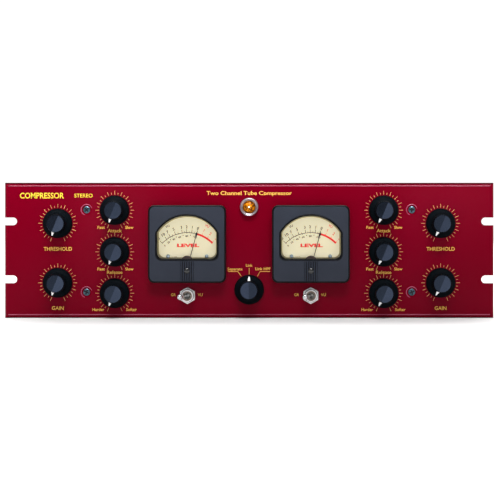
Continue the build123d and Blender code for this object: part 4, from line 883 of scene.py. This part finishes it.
def windowRim(centre):
    outlines = [windowOutline(meter["rim"]), windowOutline(meter["rimInner"])]
    thick, rounding, below = meter["rimPlate"]
    return move(plateFromOutlines(outlines, thick, rounding, 4), onPanel(centre, meter["depth"] - below))


# a black sheet behind the ribs that darkens the grooves between them: painted shade
def ribGrooveShade(centre):
    m = meter
    bm = bmesh.new()
    addBlock(bm, -m["ribHalf"], m["ribHalf"], -m["bedProud"], 0.4, m["ribLow"], m["ribTop"])
    return move(bm, onPanel(centre, m["depth"]))


def ribStrip(centre):
    m = meter
    bm = bmesh.new()
    pitch = 2 * m["ribHalf"] / m["ribs"]
    half = pitch * m["ribShare"] / 2
    for i in range(m["ribs"]):
        x = -m["ribHalf"] + (i + 0.5) * pitch
        addBlock(bm, x - half, x + half, -m["ribProud"], 0.2, m["ribLow"] + 0.1, m["ribTop"] - 0.1)
    upright = [e for e in bm.edges if abs((e.verts[0].co - e.verts[1].co).z) > 5]
    bevelEdges(bm, [e for e in upright if e.verts[0].co.y < 0], m["ribRound"])
    return move(bm, onPanel(centre, m["depth"]))


def dialCard():
    m = meter
    bm = plateFromOutlines([windowOutline(m["cardGrow"])], m["card"], m["cardRound"], 1)
    return move(bm, Matrix.Translation((0, m["card"] / 2 + m["inkProud"], 0)))


# a tan band along the window's edge, darker than the card: partly the dial's moulded support, partly painted
# shade of the rim on the card
def cardEdge():
    m = meter
    outlines = [windowOutline(grow) for grow in m["cardEdge"]]
    bm = plateFromOutlines(outlines, m["edgeThick"], m["edgeRound"], 2)
    return move(bm, Matrix.Translation((0, -m["edgeProud"], 0)))


# the dial's two scales, their figures and marks, by degrees from upright

scale = {"radius": 34.6, "line": 0.6, "redLine": 1.9, "redStart": 15.1, "end": 45.5, "step": 1.5, "ink": 0.03,
         "tickEnd": 38.0, "tick": 0.5, "redTickEnd": 37.6, "fineTick": 0.36, "minorRise": 1.8,
         "numberRadius": 40.4, "number": 2.9, "twoFigures": 3.6, "numberBold": 0.2, "percentRadius": 31.2,
         "percent": 2.1, "percentBold": 0.18, "percentTick": 0.28, "percentDrop": 1.3, "dot": 0.9,
         "dotRise": (0.6, 1.5)}
volumeMarks = [("20", -45.5), ("10", -36.0), ("7", -29.0), ("5", -19.7), ("3", -8.5), ("2", -1.1), ("1", 7.0),
               ("0", 15.1)]
redMarks = [("1", 24.0), ("2", 34.0), ("3", 44.3)]
minorMarks = [-32.5, -24.5, -15.0, -4.8, 3.0, 11.0]
percentMarks = [("0", -45.5), ("20", -36.5), ("40", -25.5), ("60", -14.0), ("80", -1.0), ("100", 14.0)]
dotMarks = [-31.0, -19.8, -7.5, 5.5]
blackWords = [("VU", 4.2, 2.4, 0.16, (-19.6, 17.2), -28), ("VU LEVEL", 5.4, 0.9, 0.02, (-12.6, -12.6))]
redWords = [("VU", 4.4, 2.5, 0.2, (19.4, 17.6), 28), ("LEVEL", 22.0, 3.5, 0.5, (0.8, -1.5))]


def polar(radius, degrees):
    a = math.radians(degrees)
    return radius * math.sin(a), meter["pivotZ"] + radius * math.cos(a)


def arcBand(radius, width, start, end):
    bm = bmesh.new()
    (x0, z0), (x1, z1) = polar(radius - width / 2, start), polar(radius + width / 2, start)
    front = -scale["ink"]
    first = [bm.verts.new(p) for p in ((x0, 0, z0), (x1, 0, z1), (x1, front, z1), (x0, front, z0))]
    face = bm.faces.new(first)
    bmesh.ops.spin(bm, geom=[face] + face.edges[:] + first, cent=(0, 0, meter["pivotZ"]), axis=(0, 1, 0),
                   dvec=(0, 0, 0), angle=math.radians(end - start), steps=int((end - start) / scale["step"]),
                   use_merge=False, use_duplicate=False)
    bmesh.ops.recalc_face_normals(bm, faces=bm.faces)
    return bm


def radialTick(bm, degrees, r0, r1, width):
    verts = addBlock(bm, -width / 2, width / 2, -scale["ink"], 0.0, r0, r1)
    turn = Matrix.Translation((0, 0, meter["pivotZ"])) @ turned(degrees)
    bmesh.ops.transform(bm, matrix=turn, verts=verts)


def scaleFigure(target, text, radius, degrees, cap, width, bold):
    joinInto(target, words(text, width, cap, bold, polar(radius, degrees), degrees))


def blackScale():
    s = scale
    radius = s["radius"]
    low, high = (s["percentRadius"] + rise for rise in s["dotRise"])
    bm = arcBand(radius, s["line"], -s["end"], s["redStart"])
    for text, degrees in volumeMarks:
        radialTick(bm, degrees, radius, s["tickEnd"], s["tick"])
        width = s["twoFigures"] if len(text) > 1 else None
        scaleFigure(bm, text, s["numberRadius"], degrees, s["number"], width, s["numberBold"])
    for degrees in minorMarks:
        radialTick(bm, degrees, radius, radius + s["minorRise"], s["fineTick"])
    for text, degrees in percentMarks:
        scaleFigure(bm, text, s["percentRadius"], degrees, s["percent"], None, s["percentBold"])
        radialTick(bm, degrees, radius - s["percentDrop"], radius, s["percentTick"])
    for degrees in dotMarks:
        radialTick(bm, degrees, low, high, s["dot"])
    for row in blackWords:
        joinInto(bm, words(*row))
    return bm


def redScale():
    s = scale
    bm = arcBand(s["radius"], s["redLine"], s["redStart"], s["end"])
    for text, degrees in redMarks:
        radialTick(bm, degrees, s["radius"], s["redTickEnd"], s["fineTick"])
        scaleFigure(bm, text, s["numberRadius"], degrees, s["number"], None, s["numberBold"])
    for row in redWords:
        joinInto(bm, words(*row))
    return bm


def dialScrew(sign):
    r = meter["screwRadius"]
    bm = lathe([(0, 1.3), (0.9, 1.25), (1.5, 1.0), (r - 0.1, 0.5), (r, 0.25), (r, 0), (0, 0)], 32)
    return move(bm, Matrix.Translation((sign * meter["screwX"], 0, meter["screwZ"])))


pointer = {"angle": 15.1, "wide": 0.42, "tip": 0.12, "tail": 3.0, "end": 39.3, "spade": (33.0, 34.6, 36.2),
           "spadeHalf": 1.3, "thick": 0.3, "proud": 0.05}


def needleShape(side):
    p = pointer
    front = corners(f"meter_needle_{side}")[0].y - p["proud"]
    low, wide, high = p["spade"]
    half = p["wide"]
    right = [(half, -p["tail"]), (half * 0.8, low), (p["spadeHalf"], wide), (half * 0.5, high),
             (p["tip"], p["end"])]
    left = [(-x, z) for x, z in reversed(right)]
    bm = prism(right + left, front + p["thick"], p["thick"])[0]
    centre = middle(f"meter_case_{side}")
    return move(bm, Matrix.Translation((centre.x, 0, centre.z + meter["pivotZ"])) @ turned(p["angle"]))


zero = {"radius": 2.9, "height": 1.5, "stem": 1.2, "foot": 0.3, "slot": 0.55, "slotDeep": 0.7,
        "slotShare": 0.62, "turn": 35}


def zeroDome(side):
    z = zero
    lo, hi = corners(f"zero_screw_{side}")
    centre = middle(f"zero_screw_{side}")
    r, h, back = z["radius"], z["height"], lo.y - hi.y + 1.0
    profile = [(0, h)]
    profile += [(r * math.sin(math.radians(d)), h * math.cos(math.radians(d))) for d in range(10, 91, 10)]
    profile += [(r, -z["foot"]), (z["stem"], -z["foot"]), (z["stem"], back), (0, back)]
    slot = bmesh.new()
    reach, half = r * z["slotShare"], z["slot"] / 2
    addBlock(slot, -reach, reach, -h - 1, -h + z["slotDeep"], -half, half)
    dome = combine(lathe(profile), slot, "DIFFERENCE")
    return move(dome, Matrix.Translation((centre.x, lo.y + h, centre.z)) @ turned(z["turn"]))


def makeMeters():
    for side in sides:
        centre = middle(f"meter_case_{side}")
        bezel, case = meterCase(centre), f"meter_case_{side}"
        weigh(finishPiece(f"meter_bezel_{side}", bezel, "root", glossBlack, 35, (case,)))
        weigh(finishPiece(f"meter_face_{side}", meterFace(centre), "root", slate, 40))
        weigh(finishPiece(f"meter_window_rim_{side}", windowRim(centre), "root", glossBlack, 40))
        finishPiece(f"meter_hub_cover_{side}", hubCover(centre), "root", hubBrown, 40)
        finishPiece(f"meter_rib_groove_shade_{side}", ribGrooveShade(centre), "root", glossBlack, 40)
        finishPiece(f"meter_ribs_{side}", ribStrip(centre), "root", ribSlate, 40)

        # the dial's face stands in front of the barrel's flange
        cardFront = corners(f"meter_dial_{side}")[1].y - meter["flange"]
        cover = Matrix.Translation((centre.x, cardFront, centre.z))
        plate = move(dialCard(), cover)
        finishPiece(f"dial_card_{side}", plate, "root", card, 40, (f"meter_dial_{side}",))
        finishPiece(f"dial_edge_{side}", move(cardEdge(), cover), "root", dialEdge, 40)
        needle = needleShape(side)
        finishPiece(f"meter_pointer_{side}", needle, f"meter_needle_{side}", needleBlack, 40)
        inked = cover @ Matrix.Translation((0, -meter["inkProud"], 0))
        finishPiece(f"scale_black_{side}", move(blackScale(), inked), "root", inkBlack)
        finishPiece(f"scale_red_{side}", move(redScale(), inked), "root", inkRed)
        for label, sign in (("a", -1), ("b", 1)):
            screw = move(dialScrew(sign), cover)
            finishPiece(f"dial_screw_{label}_{side}", screw, "root", blueSteel, 40)
        dome, body = zeroDome(side), f"zero_screw_{side}"
        finishPiece(f"zero_dome_{side}", dome, body, domeBlack, 35, (body,))
        paintNode(f"meter_window_{side}", glass)
        paintNode(f"meter_needle_{side}", needleBlack)
        paintNode(f"meter_barrel_{side}", blackPlasticAndGapShade)
        paintNode(f"meter_movement_{side}", steel)


makeMeters()
print("meters made")


# lamp: the bezel's rolled edge is given inwards and down from its outer top corner

lamp = {"bezel": 9.2, "height": 4.4, "jewel": 6.3, "jewelGap": 0.05, "spigot": 1.8, "spigotDeep": 1.5,
        "roll": ((0, 2.4), (0.1, 1.5), (0.35, 0.75), (0.75, 0.2), (1.15, 0), (1.5, 0.1), (1.75, 0.45),
                 (1.9, 1.0), (2.3, 1.35), (2.6, 1.4)), "bore": 1.8, "facets": 12, "tip": 5.6,
        "rows": ((1, -1.4, 0), (1, 1.2, 0), (0.9, 2.9, 0.5), (0.68, 4.3, 0), (0.4, 5.2, 0.5))}


def lampBezel():
    outer, high, inner = lamp["bezel"], lamp["height"], lamp["jewel"] + lamp["jewelGap"]
    spigot, deep = outer - lamp["spigot"], -lamp["spigotDeep"]
    profile = [(inner, deep), (spigot, deep), (spigot, 0), (outer, 0)]
    profile += [(outer - inward, high - down) for inward, down in lamp["roll"]]
    profile += [(inner, high - lamp["bore"]), (inner, deep)]
    return lathe(profile, 96)


def facetedJewel():  # rows of radius share, height and twist, closed by a hull
    count, rows = lamp["facets"], lamp["rows"]
    bm = bmesh.new()
    for share, high, twist in rows:
        radius = lamp["jewel"] * share
        ring = bmesh.ops.create_circle(bm, cap_ends=False, radius=radius, segments=count)["verts"]
        turn = turned(360 * twist / count) @ turned(90, "X")
        bmesh.ops.transform(bm, matrix=Matrix.Translation((0, -high, 0)) @ turn, verts=ring)
    bm.verts.new((0, -lamp["tip"], 0))
    bm.verts.new((0, -rows[0][1], 0))
    bmesh.ops.convex_hull(bm, input=bm.verts[:])
    inner = [v for v in bm.verts if not v.link_faces]
    bmesh.ops.delete(bm, geom=inner, context="VERTS")
    bmesh.ops.recalc_face_normals(bm, faces=bm.faces)
    return bm


def makeLamp():
    place = onPanel(middle("lamp_bezel"))
    ring = move(lampBezel(), place)
    weigh(finishPiece("lamp_bezel_ring", ring, "root", satinChrome, 40, ("lamp_bezel",)))
    facets = move(facetedJewel(), place)
    finishPiece("lamp_jewel_facets", facets, "root", jewel, 5, ("lamp_jewel",))
    paintNode("lamp_holder", blackPlasticAndGapShade)


makeLamp()
print("lamp made")


# panel screws: domed heads with a cross over a black floor of painted shade, each in a recess ringed by
# lighter enamel as a painted highlight

screw = {"radius": 3.45, "height": 1.15, "sink": 0.55, "flatten": 0.75, "neck": 0.9, "point": 1.9,
         "crossHalf": 2.35, "crossWide": 1.35, "crossFoot": 1.0, "crossTall": 3.0, "crossTaper": 1.25,
         "floorDeep": 0.3, "floorThick": 0.5, "floorGrow": (0.15, 0.12), "ring": 5.3, "ringRound": 0.45,
         "ringSink": 0.22, "ringLean": 5, "turnStep": 23, "shank": 9.0, "shankRadius": 1.9, "shankTip": 1.3}


def screwPlaces():
    found = {}
    for v in nodes["panel_screws"].data.vertices:
        found.setdefault((v.co.x > 0, v.co.z > 0), []).append(v.co / mm)
    places = []
    for group in found.values():
        xs, zs = [v.x for v in group], [v.z for v in group]
        places.append(((min(xs) + max(xs)) / 2, (min(zs) + max(zs)) / 2))
    return sorted(places)


def crossOutline(a, w):  # arms that reach to a and are 2 w wide
    return [(-w, a), (w, a), (w, w), (a, w), (a, -w), (w, -w),
            (w, -a), (-w, -a), (-w, -w), (-a, -w), (-a, w), (-w, w)]


# a black floor inside the cross: painted shade in the recess
def crossFloor():
    s = screw
    longer, wider = s["floorGrow"]
    front = s["height"] - s["sink"] - s["floorDeep"]
    outline = crossOutline(s["crossHalf"] + longer, s["crossWide"] / 2 + wider)
    return prism(outline, -front + s["floorThick"], s["floorThick"])[0]


def screwHead():
    s = screw
    top = s["height"] - s["sink"]
    profile = [(0, top)]
    for d in range(15, 76, 12):
        a = math.radians(d)
        profile.append((s["radius"] * math.sin(a), top - s["height"] * (1 - math.cos(a)) * s["flatten"]))
    profile += [(s["radius"], -s["sink"] + 0.05), (s["radius"] - s["neck"], -s["sink"] - s["neck"]),
                (0, -s["sink"] - s["point"])]
    cross, front = prism(crossOutline(s["crossHalf"], s["crossWide"] / 2), s["crossFoot"], s["crossTall"])
    for v in front:
        v.co.x *= s["crossTaper"]
        v.co.z *= s["crossTaper"]
    return combine(lathe(profile, 48), cross, "DIFFERENCE")


def screwShank():
    r, tip, length = screw["shankRadius"], screw["shankTip"], screw["shank"]
    return lathe([(0, 0.2), (r, 0.2), (r, r - tip - length), (tip, -length), (0, -length)], 32)


def recessRing():
    s = screw
    profile = arc(s["ring"], -s["ringSink"], s["ringRound"], 0, 360, 15)
    return lathe(profile[:-1] + profile[:1], 72)


def makeScrews():
    head, cross, shank, ring = screwHead(), crossFloor(), screwShank(), recessRing()
    lean = turned(screw["ringLean"], Vector((1, 0, 1)))  # the recess is proud on its upper left; its ring is a painted highlight in lighter enamel
    for n, (x, z) in enumerate(screwPlaces(), 1):
        place = Matrix.Translation((x, faceY, z))
        turn = place @ turned(screw["turnStep"] * n)
        replaced = ("panel_screws",) if n == 1 else ()
        finishPiece(f"screw_head_{n}", copyTo(head, turn), "root", blued, 35, replaced)
        finishPiece(f"screw_shank_{n}", copyTo(shank, place), "root", blued, 35)
        finishPiece(f"screw_recess_{n}", copyTo(ring, place @ lean), "root", highlightPaint, 60)
        finishPiece(f"screw_cross_{n}", copyTo(cross, turn), "root", blackScrewAndCrossShade, 35)
    for bm in (head, cross, shank, ring):
        bm.free()


makeScrews()
print("screws made")


# toggles

toggle = {"pivot": 3.6, "angle": 16.5, "length": 21.0, "tip": 2.7, "neck": 1.6, "ball": 2.45, "pin": 1.0,
          "nut": 14.3, "nutHeight": 2.3, "washer": 7.35, "washerHeight": 0.7, "washerEdge": 0.1,
          "bushing": 5.7, "reach": 8.0, "pitch": 0.85, "thread": (0.04, 0.24), "lip": 0.8, "lipRise": 0.12,
          "collar": (3.5, 4.85, 0.1, 0.06), "gap": (6.0, 6.5, 0.2, 0.05)}


def toggleLever():
    t = toggle
    length, tip, neck, ball = t["length"], t["tip"], t["neck"], t["ball"]
    profile = [(0, -5.6), (t["pin"], -5.4), (t["pin"], -2.2)]
    profile += arc(0, 0, ball, -60, 45, 7)
    profile += [(neck, 2.6), (neck, 6.0), (neck + 0.25, 9.0)]
    profile += [(tip - 0.35, length - 4.5), (tip - 0.08, length - 2)]
    profile += arc(0, length, tip, 0, 84, 7)
    profile.append((0, length + tip))
    lean = Matrix.Translation((0, -t["pivot"], 0)) @ turned(-t["angle"], "Z")
    return move(lathe(profile, 40), lean)


def toggleNut():
    t = toggle
    low, high, hole = t["washerHeight"], t["washerHeight"] + t["nutHeight"], t["bushing"] + 0.05
    radius, flat = t["nut"] / math.sqrt(3), t["nut"] / 2
    bm = bmesh.new()
    bmesh.ops.create_cone(bm, cap_ends=True, segments=6, radius1=radius, radius2=radius, depth=t["nutHeight"])
    move(bm, Matrix.Translation((0, -(low + high) / 2, 0)) @ turned(90, "X"))
    crown = lathe([(hole, low - 0.5), (radius + 1, low - 0.5), (radius + 1, high - 1.0),
                   (flat - 0.3, high + 0.02), (hole + 0.55, high + 0.02), (hole, high - 0.5),
                   (hole, low - 0.5)], 72)
    return combine(bm, crown, "INTERSECT")


def toggleThread():
    t = toggle
    low = t["washerHeight"] + t["nutHeight"] - 0.4
    reach, pitch = t["reach"], t["pitch"]
    bore, lip = t["bushing"] + 0.01, t["bushing"] - t["lip"]
    root, crest = (t["bushing"] + rise for rise in t["thread"])
    profile = [(bore, low)]
    h = low + 0.1
    while h + pitch < reach - 0.4:
        profile += [(root, h), (crest, h + pitch * 0.4), (crest, h + pitch * 0.6)]
        h += pitch
    profile += [(root, h), (root, reach), (lip, reach + t["lipRise"]), (lip, reach - 0.1),
                (bore, reach - 0.1), (bore, low)]
    return lathe(profile)


def toggleWasher():
    t = toggle
    hole, outer, high, edge = t["bushing"] + 0.06, t["washer"], t["washerHeight"], t["washerEdge"]
    rim = [(outer, 0), (outer, high - edge), (outer - edge, high)]
    return lathe([(hole, 0)] + rim + [(hole, high), (hole, 0)], 96)


def flatRing(size, level):
    inner, outer, below, above = size
    low, high = level - below, level + above
    return lathe([(inner, low), (outer, low), (outer, high), (inner, high), (inner, low)])


def makeToggles():
    lever, nut, washer, thread = toggleLever(), toggleNut(), toggleWasher(), toggleThread()
    collar = flatRing(toggle["collar"], toggle["reach"])
    gap = flatRing(toggle["gap"], toggle["washerHeight"] + toggle["nutHeight"])
    for side in sides:
        place = onPanel(middle(f"toggle_body_{side}"))
        body = f"toggle_lever_{side}"
        weigh(finishPiece(f"toggle_bat_{side}", copyTo(lever, place), body, chrome, 50, (body,)))
        replaced = ("toggle_nuts",) if side == "left" else ()
        fixed = copyTo(nut, place)
        weigh(finishPiece(f"toggle_nut_{side}", fixed, "root", brightNickel, 20, replaced))
        finishPiece(f"toggle_washer_{side}", copyTo(washer, place), "root", chrome, 40)
        finishPiece(f"toggle_collar_{side}", copyTo(collar, place), "root", bronze, 40)
        # a thin black ring on the nut's face round the bushing: painted shade in the gap between them
        finishPiece(f"toggle_gap_{side}", copyTo(gap, place), "root", blackPlasticAndGapShade, 40)
        finishPiece(f"toggle_thread_{side}", copyTo(thread, place), "root", brightNickel, 25)
        paintNode(f"toggle_body_{side}", nickel)
    for bm in (lever, nut, washer, thread, collar, gap):
        bm.free()


makeToggles()
print("toggles made")


# the carried-over pieces and their finishes

finishes = {
    "front_panel": paint, "panel_screws": blued, "chassis_pan": caseCoat, "rear_panel": caseCoat,
    "top_cover": caseCoat, "case_screws": blackScrewAndCrossShade, "rubber_feet": rubber, "potentiometer_bodies": zinc,
    "selector_body": zinc, "panel_nuts": nickel, "input_sockets": dieCast, "output_plugs": dieCast,
    "mains_inlet": blackPlasticAndGapShade, "fuse_drawer": blackPlasticAndGapShade, "power_switch_frame": blackPlasticAndGapShade,
    "power_rocker": glossBlack, "mains_transformer": lamination, "audio_transformers": canGrey,
    "supply_board": boardGreen, "amplifier_board_left": boardGreen, "amplifier_board_right": boardGreen,
    "valve_sockets": ceramic, "valves": valveGlass, "filter_capacitors": sleeveBlue, "board_standoffs": brass,
    "input_latch_left": nickel, "input_latch_right": nickel,
}
for node, mat in finishes.items():
    paintNode(node, mat)
print("frame painted")
